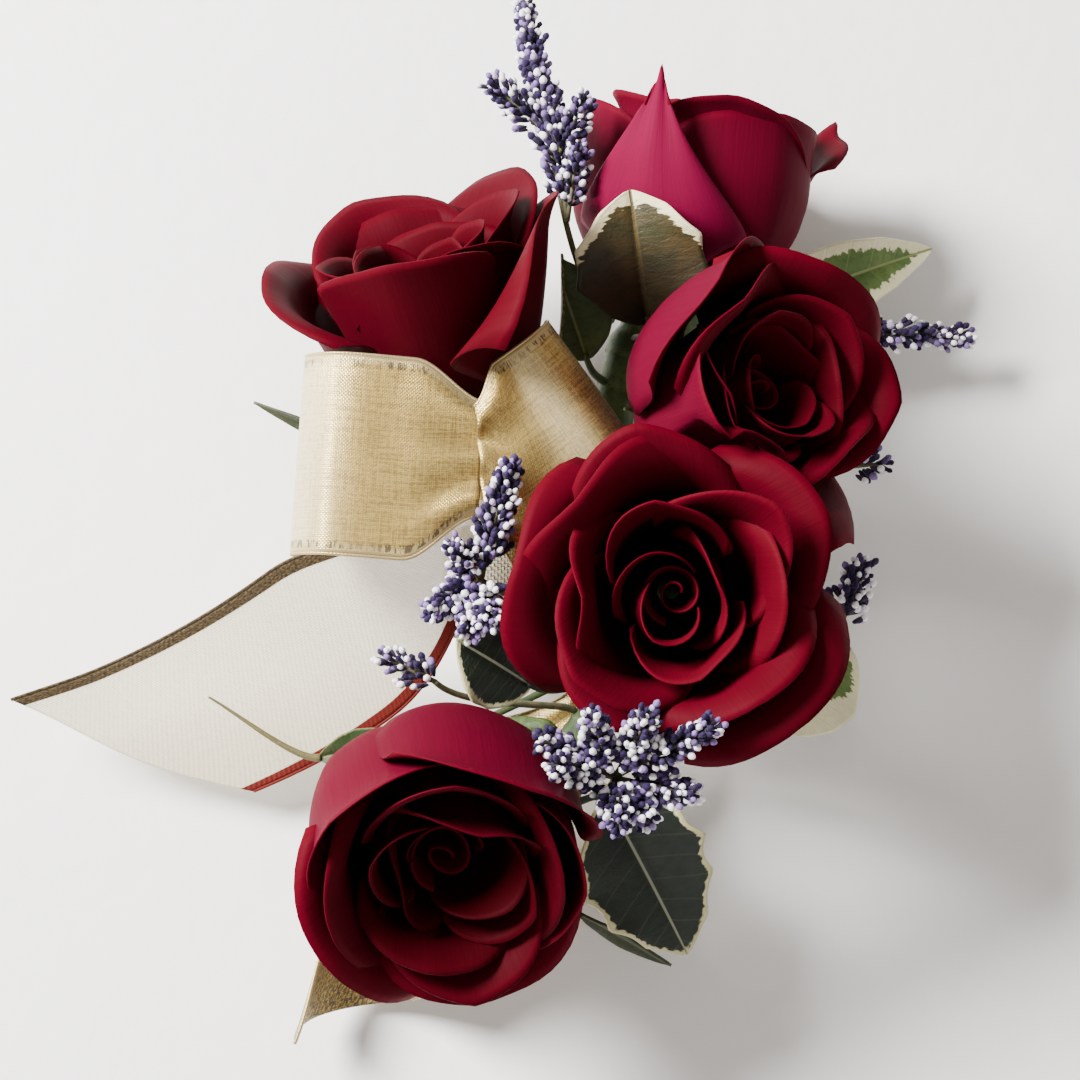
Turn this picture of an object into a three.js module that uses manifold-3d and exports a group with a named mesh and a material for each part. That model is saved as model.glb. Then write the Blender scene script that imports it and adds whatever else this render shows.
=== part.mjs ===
// Wrist corsage: five red roses, leaves, sea lavender and a gold bow on a taped spine, clipped to an elastic band.
// Millimetres, +Z up, the table at z = 0. X runs right and Y runs away, as a viewer above the band sees them.
import * as THREE from "three";
import { mergeVertices } from "three/addons/utils/BufferGeometryUtils.js";
import Module from "manifold-3d";

// Clearances
const fitGap = 0.3;
const bendGap = 0.6;
const yieldGap = 1.8;

// Wristband
const elasticWidth = 18;
const elasticThickness = 1.2;
const loopSpan = 62;
const loopHeight = 21;
const seamLength = 16;

// Clip
const plateLength = 44;
const plateThickness = 0.8;
const lugWidth = 8;
const lugLip = 3;
const ringWidth = 7;
const ringSpacing = 30;
const ringMouth = 100;

// Spine
const spineRadius = 4.2;
const spineTopEnd = [5, 46];
const spineLowEnd = [-13, -44];

// Roses
const petalThickness = 0.8;
const outerLength = 44;
const outerWidth = 43;
const outerFootRadius = 5.6;
const innerLength = 40;
const innerWidth = 33;
const innerFootRadius = 4.2;
const heartRadius = 6.8;
const heartTop = 30;
const heartTurns = 2.2;
const heartFoot = 3.4;
const footRim = 0.7;
const footDepth = 0.8;
const hipRadius = 5;
const hipHeight = 9;
const neckRadius = 4.4;
const sepalLength = 10.5;
const sepalWidth = 5.5;
const stemRadius = 2;
const wireRadius = 0.5;

// Ribbon
const ribbonWidth = 35;
const ribbonThickness = 0.5;
const pinchWidth = 13;
const knotRadius = 4;
const knotPlace = [-22, 9, 50];
const leftLoopLength = 29;
const rightLoopLength = 21;
const leftLoopRise = 15;
const rightLoopRise = 10;
const tailSlant = 34;

// Leaves and sprigs
const leafThickness = 0.6;
const petioleRadius = 0.8;
const sprigStemRadius = 0.7;
const floretWhorl = 8;

const at = (x, y, z) => new THREE.Vector3(x, y, z);
const up = at(0, 0, 1);
const radians = THREE.MathUtils.degToRad;
const outerFootTop = fitGap + footDepth;
const innerFootTop = outerFootTop + fitGap + footDepth;
const heartLow = innerFootTop + fitGap + petalThickness / 2;

const wasm = await Module();
wasm.setup();

// A closed body for joining and cutting, from the points and faces of a geometry.
function solidFrom(geometry) {
  const bare = new THREE.BufferGeometry();
  bare.setAttribute("position", geometry.getAttribute("position").clone());
  bare.setIndex(geometry.index);
  const merged = mergeVertices(bare, 1e-4);
  const vertProperties = new Float32Array(merged.getAttribute("position").array);
  const triVerts = new Uint32Array(merged.index.array);
  return new wasm.Manifold(new wasm.Mesh({ numProp: 3, vertProperties, triVerts }));
}

function geometryFrom(solid) {
  const mesh = solid.getMesh();
  const geometry = new THREE.BufferGeometry();
  geometry.setAttribute("position", new THREE.BufferAttribute(new Float32Array(mesh.vertProperties), 3));
  geometry.setIndex(Array.from(mesh.triVerts));
  geometry.computeVertexNormals();
  return geometry;
}

// One body from several that overlap, with any pocket sealed between them filled.
function joined(parts) {
  const whole = parts.map(solidFrom).reduce((a, b) => a.add(b));
  const shells = whole.decompose().filter((shell) => shell.volume() > 0);
  return geometryFrom(shells.reduce((a, b) => a.add(b)));
}

// A thin sheet of even thickness over grid[column][row]. Its front is the side of across x along.
function sheet(grid, thickness) {
  const columns = grid.length - 1;
  const rows = grid[0].length - 1;
  const points = [];
  for (const side of [0.5, -0.5]) {
    for (let i = 0; i <= columns; i++) {
      for (let j = 0; j <= rows; j++) {
        const across = grid[Math.min(i + 1, columns)][j].clone().sub(grid[Math.max(i - 1, 0)][j]);
        const along = grid[i][Math.min(j + 1, rows)].clone().sub(grid[i][Math.max(j - 1, 0)]);
        const normal = across.cross(along).normalize();
        points.push(grid[i][j].clone().addScaledVector(normal, side * thickness));
      }
    }
  }
  const front = (i, j) => i * (rows + 1) + j;
  const back = (i, j) => front(i, j) + (columns + 1) * (rows + 1);
  const index = [];
  const quad = (a, b, c, d) => index.push(a, b, c, a, c, d);
  for (let i = 0; i < columns; i++) {
    for (let j = 0; j < rows; j++) {
      quad(front(i, j), front(i + 1, j), front(i + 1, j + 1), front(i, j + 1));
      quad(back(i, j), back(i, j + 1), back(i + 1, j + 1), back(i + 1, j));
    }
    quad(front(i + 1, 0), front(i, 0), back(i, 0), back(i + 1, 0));
    quad(front(i, rows), front(i + 1, rows), back(i + 1, rows), back(i, rows));
  }
  for (let j = 0; j < rows; j++) {
    quad(front(0, j), front(0, j + 1), back(0, j + 1), back(0, j));
    quad(front(columns, j + 1), front(columns, j), back(columns, j), back(columns, j + 1));
  }
  const geometry = new THREE.BufferGeometry().setFromPoints(points);
  geometry.setIndex(index);
  geometry.computeVertexNormals();
  return geometry;
}

// A round bar along a curve, with a bore if one is given.
function bar(curve, radius, sides, steps, bore = 0) {
  const ring = (size) =>
    Array.from({ length: sides }, (_, k) => {
      const turn = (k / sides) * 2 * Math.PI;
      return new THREE.Vector2(size * Math.cos(turn), size * Math.sin(turn));
    });
  const shape = new THREE.Shape(ring(radius));
  if (bore > 0) {
    shape.holes.push(new THREE.Path(ring(bore).reverse()));
  }
  return new THREE.ExtrudeGeometry(shape, { steps, bevelEnabled: false, extrudePath: curve });
}

// A turned body about +Z, from [radius, height] pairs that start and end on the axis, lowest first.
function turned(profile, sides) {
  const points = profile.map(([radius, height]) => new THREE.Vector2(radius, height));
  return new THREE.LatheGeometry(points, sides).rotateX(Math.PI / 2);
}

// A shape drawn in X and Z, thickened along Y about its middle.
function slab(shape, width) {
  const geometry = new THREE.ExtrudeGeometry(shape, { depth: width, bevelEnabled: false, curveSegments: 10 });
  return geometry.translate(0, 0, -width / 2).rotateX(Math.PI / 2);
}

const smooth = (t) => t * t * (3 - 2 * t);
const ramp = (t) => smooth(Math.min(Math.max(t, 0), 1));

// The value at v from 0 to 1 along evenly spaced values.
function eased(values, v) {
  const place = Math.min(Math.max(v, 0), 1) * (values.length - 1);
  const step = Math.min(Math.floor(place), values.length - 2);
  return THREE.MathUtils.lerp(values[step], values[step + 1], smooth(place - step));
}

const paints = {
  elastic: new THREE.MeshStandardMaterial({ color: 0xe9e2d2, roughness: 0.8, metalness: 0 }),
  clip: new THREE.MeshStandardMaterial({ color: 0xb9bcc0, roughness: 0.35, metalness: 1 }),
  tape: new THREE.MeshStandardMaterial({ color: 0x4d6b35, roughness: 0.7, metalness: 0 }),
  wire: new THREE.MeshStandardMaterial({ color: 0x5e6457, roughness: 0.45, metalness: 1 }),
  petal: new THREE.MeshStandardMaterial({ color: 0x8e1224, roughness: 0.6, metalness: 0 }),
  sepal: new THREE.MeshStandardMaterial({ color: 0x51733a, roughness: 0.6, metalness: 0 }),
  ribbon: new THREE.MeshStandardMaterial({ color: 0xc8aa68, roughness: 0.45, metalness: 0.3 }),
  leaf: new THREE.MeshStandardMaterial({ color: 0x3f5a2c, roughness: 0.5, metalness: 0 }),
  sprig: new THREE.MeshStandardMaterial({ color: 0xb9aed0, roughness: 0.8, metalness: 0 }),
};

const corsage = new THREE.Group();
corsage.name = "wrist_corsage";

function add(name, geometry, paint) {
  const mesh = new THREE.Mesh(geometry, paint);
  mesh.name = name;
  corsage.add(mesh);
  return mesh;
}

// Wristband: one loop of elastic, flattened by its own weight, with its end lapped inside it.
const stadium = (span, height, target) => {
  const radius = height / 2;
  const straight = span / 2 - radius;
  target.moveTo(-straight, 0);
  target.lineTo(straight, 0);
  target.absarc(straight, radius, radius, -Math.PI / 2, Math.PI / 2, false);
  target.lineTo(-straight, height);
  target.absarc(-straight, radius, radius, Math.PI / 2, (3 * Math.PI) / 2, false);
  return target;
};
const bandHole = stadium(loopSpan - 2 * elasticThickness, loopHeight - 2 * elasticThickness, new THREE.Path());
const bandShape = stadium(loopSpan, loopHeight, new THREE.Shape());
bandShape.holes.push(new THREE.Path(bandHole.getPoints(10).map((p) => p.add(new THREE.Vector2(0, elasticThickness)))));
add("wrist_elastic", slab(bandShape, elasticWidth), paints.elastic);

const seam = new THREE.BoxGeometry(seamLength, elasticWidth, elasticThickness);
add("elastic_seam", seam.translate(0, 0, 1.5 * elasticThickness + fitGap), paints.elastic);

// Clip: a plate along the spine, two lugs folded round the elastic and two split rings round the spine.
const plateLow = loopHeight + fitGap;
const spineHeight = plateLow + plateThickness + fitGap + spineRadius;
const ringInner = spineRadius + fitGap;
const ringOuter = ringInner + plateThickness;
const box = (w, d, h, x, y, z) => new THREE.BoxGeometry(w, d, h).translate(x, y, z);
const clipParts = [box(2 * ringOuter, plateLength, plateThickness, 0, 0, plateLow + plateThickness / 2)];
const lugDrop = elasticThickness + 2 * fitGap + 2 * plateThickness;
const lugY = elasticWidth / 2 + fitGap + plateThickness / 2;
for (const side of [-1, 1]) {
  const wallZ = plateLow + plateThickness - lugDrop / 2;
  const lipZ = plateLow + plateThickness - lugDrop + plateThickness / 2;
  const lipY = side * (lugY + plateThickness / 2 - (lugLip + plateThickness) / 2);
  clipParts.push(box(lugWidth, plateThickness, lugDrop, 0, side * lugY, wallZ));
  clipParts.push(box(lugWidth, lugLip + plateThickness, plateThickness, 0, lipY, lipZ));
  const mouth = radians(ringMouth / 2);
  const ring = new THREE.Shape();
  ring.absarc(0, spineHeight, ringOuter, Math.PI / 2 + mouth, Math.PI * 2.5 - mouth, false);
  ring.absarc(0, spineHeight, ringInner, Math.PI * 2.5 - mouth, Math.PI / 2 + mouth, true);
  clipParts.push(slab(ring, ringWidth).translate(0, (side * ringSpacing) / 2, 0));
}
add("clip_plate", joined(clipParts), paints.clip);

// Spine: straight through the clip, then swinging out to the end flowers.
const straightEnd = ringSpacing / 2 + ringWidth;
const spinePath = new THREE.CatmullRomCurve3([
  at(...spineTopEnd, spineHeight),
  at(0.4, straightEnd + 4, spineHeight),
  at(0, straightEnd, spineHeight),
  at(0, 0, spineHeight),
  at(0, -straightEnd, spineHeight),
  at(-1, -straightEnd - 4, spineHeight),
  at(...spineLowEnd, spineHeight),
]);
add("taped_spine", bar(spinePath, spineRadius, 10, 18), paints.tape);

// How far along the spine a given y lies, from 0 to 1.
function spineShare(y) {
  let low = 0;
  let high = 1;
  for (let k = 0; k < 24; k++) {
    const middle = (low + high) / 2;
    if (spinePath.getPoint(middle).y > y) {
      low = middle;
    } else {
      high = middle;
    }
  }
  return low;
}
const spineAt = (y) => spinePath.getPoint(spineShare(y));

// A stem's foot on the side of the spine that faces a point, and a point straight out from it.
function footOnSpine(y, toward, gap, lead = 3) {
  const middle = spineAt(y);
  const along = spinePath.getTangent(spineShare(y));
  const away = toward.clone().sub(middle);
  away.addScaledVector(along, -away.dot(along));
  const foot = middle.addScaledVector(away.normalize(), spineRadius + gap);
  return [foot, foot.clone().addScaledVector(away, lead)];
}

// Petal lean from the axis, in degrees, from foot to rim.
const outerLeans = [78, 46, 17, 8, 22, 54];
const cupped = [84, 60, 27, 4, -10, -12];
const goblet = [72, 36, 22, 17, 14, 12];
const flared = [74, 40, 20, 10, 12, 20];
const innerLeans = [62, 29, 4, -4, -4, 2];

// Roses: where the bloom sits on its hip, which way it faces, its size and the roses it gives way to.
// An outer petal has its direction about the axis, its share of the full length, how far it opens,
// and for each margin 1 where it rolls out over its neighbour or -1 where it is tucked under.
const roses = {
  centre: {
    base: [10.5, -8, 37.5],
    face: [0, -0.26, 0.97],
    spin: 100,
    size: 0.96,
    open: 0,
    spineY: -5,
    yieldsTo: [],
    petals: [
      { aim: 104, long: 0.89, open: 3, over: [-1, -1] },
      { aim: 172, long: 0.96, open: 1, over: [1, 1] },
      { aim: 244, long: 0.87, open: 0, over: [-1, -1] },
      { aim: 312, long: 1.02, open: 5, over: [1, 1] },
      { aim: 26, long: 0.94, open: 2, over: [-1, 1] },
    ],
  },
  bottom: {
    base: [-33, -41, 31],
    face: [0.17, -0.66, 0.73],
    spin: 68,
    size: 1.03,
    open: -6,
    spineY: -34,
    yieldsTo: ["centre"],
    petals: [
      { aim: 64, long: 1.07, open: 0, over: [1, 1], leans: cupped },
      { aim: 146, long: 0.99, open: 12, over: [-1, -1], leans: cupped },
      { aim: 215, long: 0.98, open: -14, over: [1, 1] },
      { aim: 283, long: 0.96, open: -15, over: [-1, 1] },
      { aim: 356, long: 0.98, open: 4, over: [-1, -1], leans: cupped },
    ],
  },
  right: {
    base: [14.5, 24.5, 36],
    face: [0.52, -0.03, 0.84],
    spin: 288,
    size: 0.9,
    open: -8,
    spineY: 26,
    yieldsTo: ["centre"],
    petals: [
      { aim: 284, long: 1.09, open: 6, over: [1, 1], taper: 0.45 },
      { aim: 357, long: 0.98, open: -8, over: [-1, -1] },
      { aim: 68, long: 1, open: -12, over: [1, 1] },
      { aim: 140, long: 1.04, open: 6, over: [1, 1], leans: cupped },
      { aim: 213, long: 1.02, open: 0, over: [-1, -1], leans: cupped },
    ],
  },
  left: {
    base: [-26, 25.5, 29],
    face: [-0.25, 0.77, 0.58],
    spin: 268,
    size: 1.06,
    open: -4,
    spineY: 24.5,
    yieldsTo: ["right"],
    petals: [
      { aim: 270, long: 0.97, open: 2, over: [-1, -1], leans: goblet, lip: 10 },
      { aim: 342, long: 1, open: 6, over: [1, -1], leans: goblet, roll: 60 },
      { aim: 52, long: 1.02, open: -8, over: [-1, 1] },
      { aim: 124, long: 1.01, open: -10, over: [-1, -1] },
      { aim: 190, long: 0.96, open: 8, over: [1, 1], leans: flared, wide: 1.18, lap: 1, roll: 14 },
    ],
  },
  top: {
    base: [13.5, 52, 24],
    face: [0.15, 0.95, 0.25],
    spin: 238,
    size: 0.98,
    open: -10,
    spineY: 40,
    yieldsTo: ["left", "right"],
    petals: [
      { aim: 241, long: 1.06, open: 12, over: [1, 1], leans: cupped, wide: 1.52, lap: 1, roll: 10, taper: 0.9, lip: 0 },
      { aim: 307, long: 0.99, open: 4, over: [-1, -1], leans: cupped, wide: 1.23, lap: 1, lip: 10 },
      { aim: 18, long: 1.02, open: -2, over: [1, 1], roll: 8, taper: 0.85, lip: 20 },
      { aim: 97, long: 0.98, open: -12, over: [-1, 1] },
      { aim: 166, long: 1, open: 6, over: [-1, -1], leans: cupped },
    ],
  },
};

// One petal about the rose's axis: each column is a strip from foot to rim, bent by the leans.
function petalGrid(petal, columns, rows) {
  const grid = [];
  const steps = rows * 5;
  for (let i = 0; i <= columns; i++) {
    const u = (2 * i) / columns - 1;
    const side = petal.over[u > 0 ? 1 : 0] * Math.abs(u);
    const reach = petal.length * (1 - 0.2 * Math.abs(u) ** 3);
    let radius = petal.footRadius;
    let height = petal.footHeight;
    const line = [];
    for (let j = 0; j <= steps; j++) {
      const v = j / steps;
      const narrowing = 1 - petal.taper * Math.max((v - 0.25) / 0.75, 0);
      const half = (petal.width / 2) * (0.2 + 0.8 * Math.sin((Math.min(v / 0.6, 1) * Math.PI) / 2)) * narrowing;
      const most = petal.share * (1 + petal.lap * ramp((v - 0.3) / 0.4));
      const turn = petal.azimuth + u * Math.min(half / radius, most);
      const size = radius * (1 + petal.tuck * side * ramp(v * 1.6));
      if (j % 5 === 0) {
        line.push(at(size * Math.cos(turn), size * Math.sin(turn), height));
      }
      const middle = (j + 0.5) / steps;
      const curl = ((side > 0 ? petal.roll : 10) * side * Math.abs(side) * v + petal.open) * v;
      const lip = petal.lip * ramp((middle - 0.84) / 0.16) * (0.55 + 0.45 * u * u);
      const lean = radians(eased(petal.leans, middle) + curl + lip);
      radius += (Math.sin(lean) * reach) / steps;
      height += (Math.cos(lean) * reach) / steps;
    }
    grid.push(line);
  }
  return grid;
}

// The heart's scroll: one strip wound about the axis, drawn in at its foot.
function heartGrid(scale, columns, rows) {
  const grid = [];
  for (let i = 0; i <= columns; i++) {
    const share = i / columns;
    const turn = share * heartTurns * 2 * Math.PI;
    const foot = heartFoot * (0.25 + 0.75 * share);
    const rim = heartRadius * scale * (0.22 + 0.78 * share);
    const line = [];
    for (let j = 0; j <= rows; j++) {
      const v = j / rows;
      const size = foot + (rim - foot) * Math.sin((v * Math.PI) / 2);
      const height = heartLow + (heartTop * scale - heartLow - 6 * share * (1 - share)) * v;
      line.push(at(size * Math.cos(turn), size * Math.sin(turn), height));
    }
    grid.push(line);
  }
  return grid;
}

// How far a bloom reaches from its axis, by direction and level.
const sectors = 24;
const levels = 12;
function reachOf(petals) {
  const points = petals.map((petal) => petalGrid(petal, 24, 24)).flat(2);
  const top = Math.max(...points.map((p) => p.z));
  const reaches = Array.from({ length: sectors }, () => new Array(levels + 1).fill(0));
  for (const p of points) {
    const sector = Math.floor((Math.atan2(p.y, p.x) / (2 * Math.PI) + 1) * sectors);
    const level = Math.min(Math.max(Math.floor((p.z / top) * levels), 0), levels);
    for (const around of [-1, 0, 1]) {
      const column = reaches[(sector + around) % sectors];
      for (let k = Math.max(level - 1, 0); k <= Math.min(level + 1, levels); k++) {
        column[k] = Math.max(column[k], Math.hypot(p.x, p.y));
      }
    }
  }
  return { top, reaches };
}

const placed = {};
for (const [name, rose] of Object.entries(roses)) {
  const face = at(...rose.face).normalize();
  const turn = new THREE.Quaternion().setFromUnitVectors(up, face);
  const place = new THREE.Matrix4().compose(at(...rose.base), turn, at(1, 1, 1));
  const outerPetals = rose.petals.map((petal) => ({
    leans: outerLeans,
    lap: 0.7,
    lip: 38,
    roll: 22,
    taper: 0,
    tuck: 0.08,
    share: (Math.PI / 5) * 0.94,
    footRadius: outerFootRadius,
    footHeight: outerFootTop - footDepth / 2,
    ...petal,
    azimuth: radians(petal.aim),
    length: outerLength * rose.size * petal.long,
    width: outerWidth * rose.size * (petal.wide ?? 1),
  }));
  const innerPetals = [0, 1, 2, 3].map((k) => ({
    leans: innerLeans,
    lap: 0.5,
    lip: 16,
    roll: 14,
    taper: 0,
    tuck: 0.1,
    share: (Math.PI / 4) * 0.94,
    footRadius: innerFootRadius,
    footHeight: innerFootTop - footDepth / 2,
    over: k % 2 ? [-1, -1] : [1, 1],
    open: rose.open * 0.25,
    azimuth: radians(rose.spin + 30 + k * 90),
    length: innerLength * rose.size,
    width: innerWidth * rose.size,
  }));
  const outer = outerPetals.map((petal) => petalGrid(petal, 4, 5));
  const inner = innerPetals.map((petal) => petalGrid(petal, 4, 4));
  placed[name] = { face, turn, place, outer, inner, ...reachOf(outerPetals) };
}

// Moves a point out of the blooms that it gives way to, straight away from their axes.
function giveWay(point, names, gap = yieldGap) {
  for (const name of names) {
    const { place, top, reaches } = placed[name];
    const local = point.clone().applyMatrix4(place.clone().invert());
    const radius = Math.hypot(local.x, local.y);
    if (local.z < 0 || local.z > top + gap) {
      continue;
    }
    const spot = (Math.atan2(local.y, local.x) / (2 * Math.PI) + 1) * sectors - 0.5;
    const step = Math.min((local.z / top) * levels, levels);
    const low = Math.min(Math.floor(step), levels - 1);
    const limitOf = (sector) => {
      const column = reaches[sector % sectors];
      return THREE.MathUtils.lerp(column[low], column[low + 1], step - low);
    };
    const first = Math.floor(spot);
    const limit = THREE.MathUtils.lerp(limitOf(first), limitOf(first + 1), spot - first) + gap;
    if (radius < limit) {
      local.x *= limit / radius;
      local.y *= limit / radius;
      point = local.applyMatrix4(place);
    }
  }
  return point;
}

for (const [name, rose] of Object.entries(roses)) {
  const { face, turn, place, outer, inner } = placed[name];
  const inverse = place.clone().invert();
  const seat = (geometry) => geometry.applyMatrix4(place);
  const moved = (p) => giveWay(p.clone().applyMatrix4(place), rose.yieldsTo).applyMatrix4(inverse);
  const yielding = (grid) => grid.map((line) => line.map(moved));
  const disc = (radius, sides, low, high) => turned([[0, low], [radius, low], [radius, high], [0, high]], sides);
  const outerDisc = disc(outerFootRadius + footRim, 10, fitGap, outerFootTop).rotateZ(radians(rose.spin + 18));
  const innerDisc = disc(innerFootRadius + footRim, 8, outerFootTop + fitGap, innerFootTop);
  const sheets = (grids) => grids.map((grid) => sheet(yielding(grid), petalThickness));
  add(`rose_${name}_heart`, seat(sheet(heartGrid(rose.size, 16, 3), petalThickness)), paints.petal);
  add(`rose_${name}_inner_petals`, seat(joined([innerDisc, ...sheets(inner)])), paints.petal);
  add(`rose_${name}_outer_petals`, seat(joined([outerDisc, ...sheets(outer)])), paints.petal);

  const hip = turned(
    [
      [0, -hipHeight],
      [stemRadius, -hipHeight],
      [hipRadius, -hipHeight * 0.55],
      [neckRadius, -1.5],
      [neckRadius + 1, 0],
      [0, 0],
    ],
    10,
  );
  const sepals = Array.from({ length: 5 }, (_, k) => {
    const azimuth = radians(rose.spin + 36) + (k * 2 * Math.PI) / 5;
    const grid = [-1, 0, 1].map((u) =>
      [0, 0.55, 1].map((v) => {
        const half = (sepalWidth / 2) * (1 - 0.85 * v) * (v === 0 ? 0.5 : 1.6);
        const radius = neckRadius - 0.6 + sepalLength * v * 0.93;
        return at(radius, u * half, -1.5 + 2 * v - 1.4 * v * v + 0.5 * u * u).applyAxisAngle(up, azimuth);
      }),
    );
    return sheet(grid, petalThickness);
  });
  add(`rose_${name}_calyx`, seat(joined([hip, ...sepals])), paints.sepal);

  const hipFoot = at(...rose.base).addScaledVector(face, -hipHeight - fitGap);
  const [foot, lead] = footOnSpine(rose.spineY, hipFoot.clone().addScaledVector(face, -2), bendGap);
  const reach = hipFoot.distanceTo(foot);
  const elbow = hipFoot.clone().addScaledVector(face, -Math.max(2.3, reach * 0.26));
  lead.lerpVectors(foot, lead, Math.max(1, reach * 0.075));
  const path = new THREE.CubicBezierCurve3(hipFoot, elbow, lead, foot);
  const steps = Math.max(4, Math.round(reach / 3.5));
  add(`rose_${name}_stem`, bar(path, stemRadius, 8, steps, wireRadius + fitGap), paints.tape);
  add(`rose_${name}_wire`, bar(path, wireRadius, 5, steps), paints.wire);
}

// Bow: two loops that meet over a knot, its wire and two tails.
const knot = at(...knotPlace);
// A loop's margins either side of its middle line: where it meets the knot, on top, and on its way back below.
const loops = {
  left: {
    heading: 176,
    length: leftLoopLength,
    rise: leftLoopRise,
    tilt: -10,
    skew: 0,
    fan: 3.2,
    atKnot: [-13, 7],
    margins: [-19.5, ribbonWidth - 19.5],
    under: [-7, 8],
  },
  right: {
    heading: 38,
    length: rightLoopLength,
    rise: rightLoopRise,
    tilt: 20,
    skew: 0.62,
    fan: 6,
    atKnot: [-4, 12],
    margins: [-19, ribbonWidth - 19],
    under: [-8, 3],
  },
};
for (const [name, loop] of Object.entries(loops)) {
  const { length, rise } = loop;
  const out = at(Math.cos(radians(loop.heading)), Math.sin(radians(loop.heading)), 0);
  const lift = up.clone().applyAxisAngle(out, radians(loop.tilt));
  const across = lift.clone().cross(out);
  const start = knotRadius + fitGap;
  const outline = new THREE.CatmullRomCurve3([
    at(0.8, 0, knotRadius * 0.8 + 1.4),
    at(start + length * 0.35, 0, rise * 0.45),
    at(start + length * 0.8, 0, rise * 0.5),
    at(start + length, 0, 0),
    at(start + length * 0.8, 0, -rise * 0.4),
    at(start + length * 0.35, 0, -rise * 0.2),
    at(start, 0, -0.8),
  ]);
  const rows = 14;
  const grid = [0, 0.33, 0.67, 1].map((share) =>
    Array.from({ length: rows + 1 }, (_, j) => {
      const v = j / rows;
      const middle = outline.getPoint(v);
      const spread = v < 0.5 ? ramp(2 * v * loop.fan) : 1 - ramp((v - 0.52) / 0.2);
      const [low, high] = [0, 1].map((k) => {
        const ending = v < 0.5 ? loop.atKnot[k] : loop.under[k];
        return ending + (loop.margins[k] - ending) * spread;
      });
      const wide = THREE.MathUtils.lerp(low, high, share);
      const along = middle.x + loop.skew * wide * (1 - ramp(v / 0.25));
      const point = knot.clone().addScaledVector(out, along).addScaledVector(lift, middle.z);
      return point.addScaledVector(across, wide);
    }),
  );
  add(`bow_loop_${name}`, sheet(grid, ribbonThickness), paints.ribbon);
}
add("bow_knot", new THREE.SphereGeometry(knotRadius, 12, 8).scale(1, 1, 0.8).translate(...knotPlace), paints.ribbon);

const wireTop = knot.clone().add(at(knotRadius * 0.3, -knotRadius * 0.2, -knotRadius * 0.8 - fitGap));
const [wireFoot, wireLead] = footOnSpine(4, wireTop, fitGap);
const wirePath = new THREE.CubicBezierCurve3(wireTop, wireTop.clone().add(at(2, -1, -12)), wireLead, wireFoot);
add("bow_wire", bar(wirePath, wireRadius + fitGap, 6, 6), paints.wire);

// A ribbon tail along a path, rolled to one side or curled into a trough, and cut slantwise at its end.
function tail(points, { roll, curl, slant, rows }) {
  const path = new THREE.CatmullRomCurve3(points);
  const length = path.getLength();
  const grid = [-1, -0.5, 0, 0.5, 1].map((u) =>
    Array.from({ length: rows + 1 }, (_, j) => {
      const v = j / rows;
      const share = v * (1 - (slant / length) * (1 + u) * 0.5);
      const along = path.getTangentAt(share);
      const level = at(-along.y, along.x, 0).normalize();
      const across = level.clone().applyAxisAngle(along, radians(roll));
      const normal = across.clone().cross(along).negate();
      const half = THREE.MathUtils.lerp(pinchWidth, ribbonWidth, smooth(Math.min(1, share * 2.5))) / 2;
      const bend = curl * smooth(share);
      const side = bend > 0.01 ? (Math.sin(u * bend) * half) / bend : u * half;
      const lift = bend > 0.01 ? ((1 - Math.cos(u * bend)) * half) / bend : 0;
      return path.getPointAt(share).addScaledVector(across, side).addScaledVector(normal, lift);
    }),
  );
  return sheet(grid, ribbonThickness);
}
const tailDrop = knotRadius * 0.8 + fitGap + ribbonThickness;
const tailTop = knot.clone().add(at(-knotRadius * 0.4, -knotRadius * 0.3, -tailDrop));
const leftTailPoints = [
  tailTop,
  at(-36, -5, 35.5),
  at(-49, -14, 26),
  at(-68, -24, 15),
  at(-87, -32, 9),
  at(-104.5, -38, 8),
];
add("ribbon_tail_left", tail(leftTailPoints, { roll: -24, curl: 0, slant: tailSlant, rows: 9 }), paints.ribbon);
const lowTailStart = spineAt(-26).add(at(-2, -2, -spineRadius - fitGap - ribbonThickness));
const lowTailPoints = [lowTailStart, at(-20, -42, 15), at(-35, -61, 7), at(-43, -73, 3), at(-48.5, -87, 0.8)];
add("ribbon_tail_bottom", tail(lowTailPoints, { roll: 0, curl: 2, slant: 8, rows: 8 }), paints.ribbon);

// Leaves: a folded blade along an arched midrib, on a petiole that reaches the spine.
function leaf(name, { spineY, root, tip, rise, facing, width, fold, names }) {
  const from = at(...root);
  const to = at(...tip);
  const bend = from.clone().lerp(to, 0.5).add(at(...rise));
  const midrib = new THREE.QuadraticBezierCurve3(from, bend, to);
  const rows = 7;
  const grid = [-1, 0, 1].map((u) =>
    Array.from({ length: rows + 1 }, (_, j) => {
      const v = j / rows;
      const along = midrib.getTangent(v);
      const across = at(...facing).cross(along).normalize();
      const normal = along.clone().cross(across);
      const half = Math.max((width / 2) * Math.sin(Math.PI * v ** 0.85) ** 0.8, petioleRadius);
      const lift = Math.abs(u) * half * Math.sin(radians(fold));
      const point = midrib.getPoint(v).addScaledVector(across, -u * half).addScaledVector(normal, lift);
      return giveWay(point, names);
    }),
  );
  const [foot, lead] = footOnSpine(spineY, from, fitGap);
  const back = midrib.getTangent(0).multiplyScalar(from.distanceTo(foot) * 0.4);
  const inside = midrib.getPoint(0.06);
  const stalk = new THREE.CubicBezierCurve3(foot, lead, from.clone().sub(back), inside);
  add(`leaf_${name}`, joined([sheet(grid, leafThickness), bar(stalk, petioleRadius, 5, 4)]), paints.leaf);
}
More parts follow.
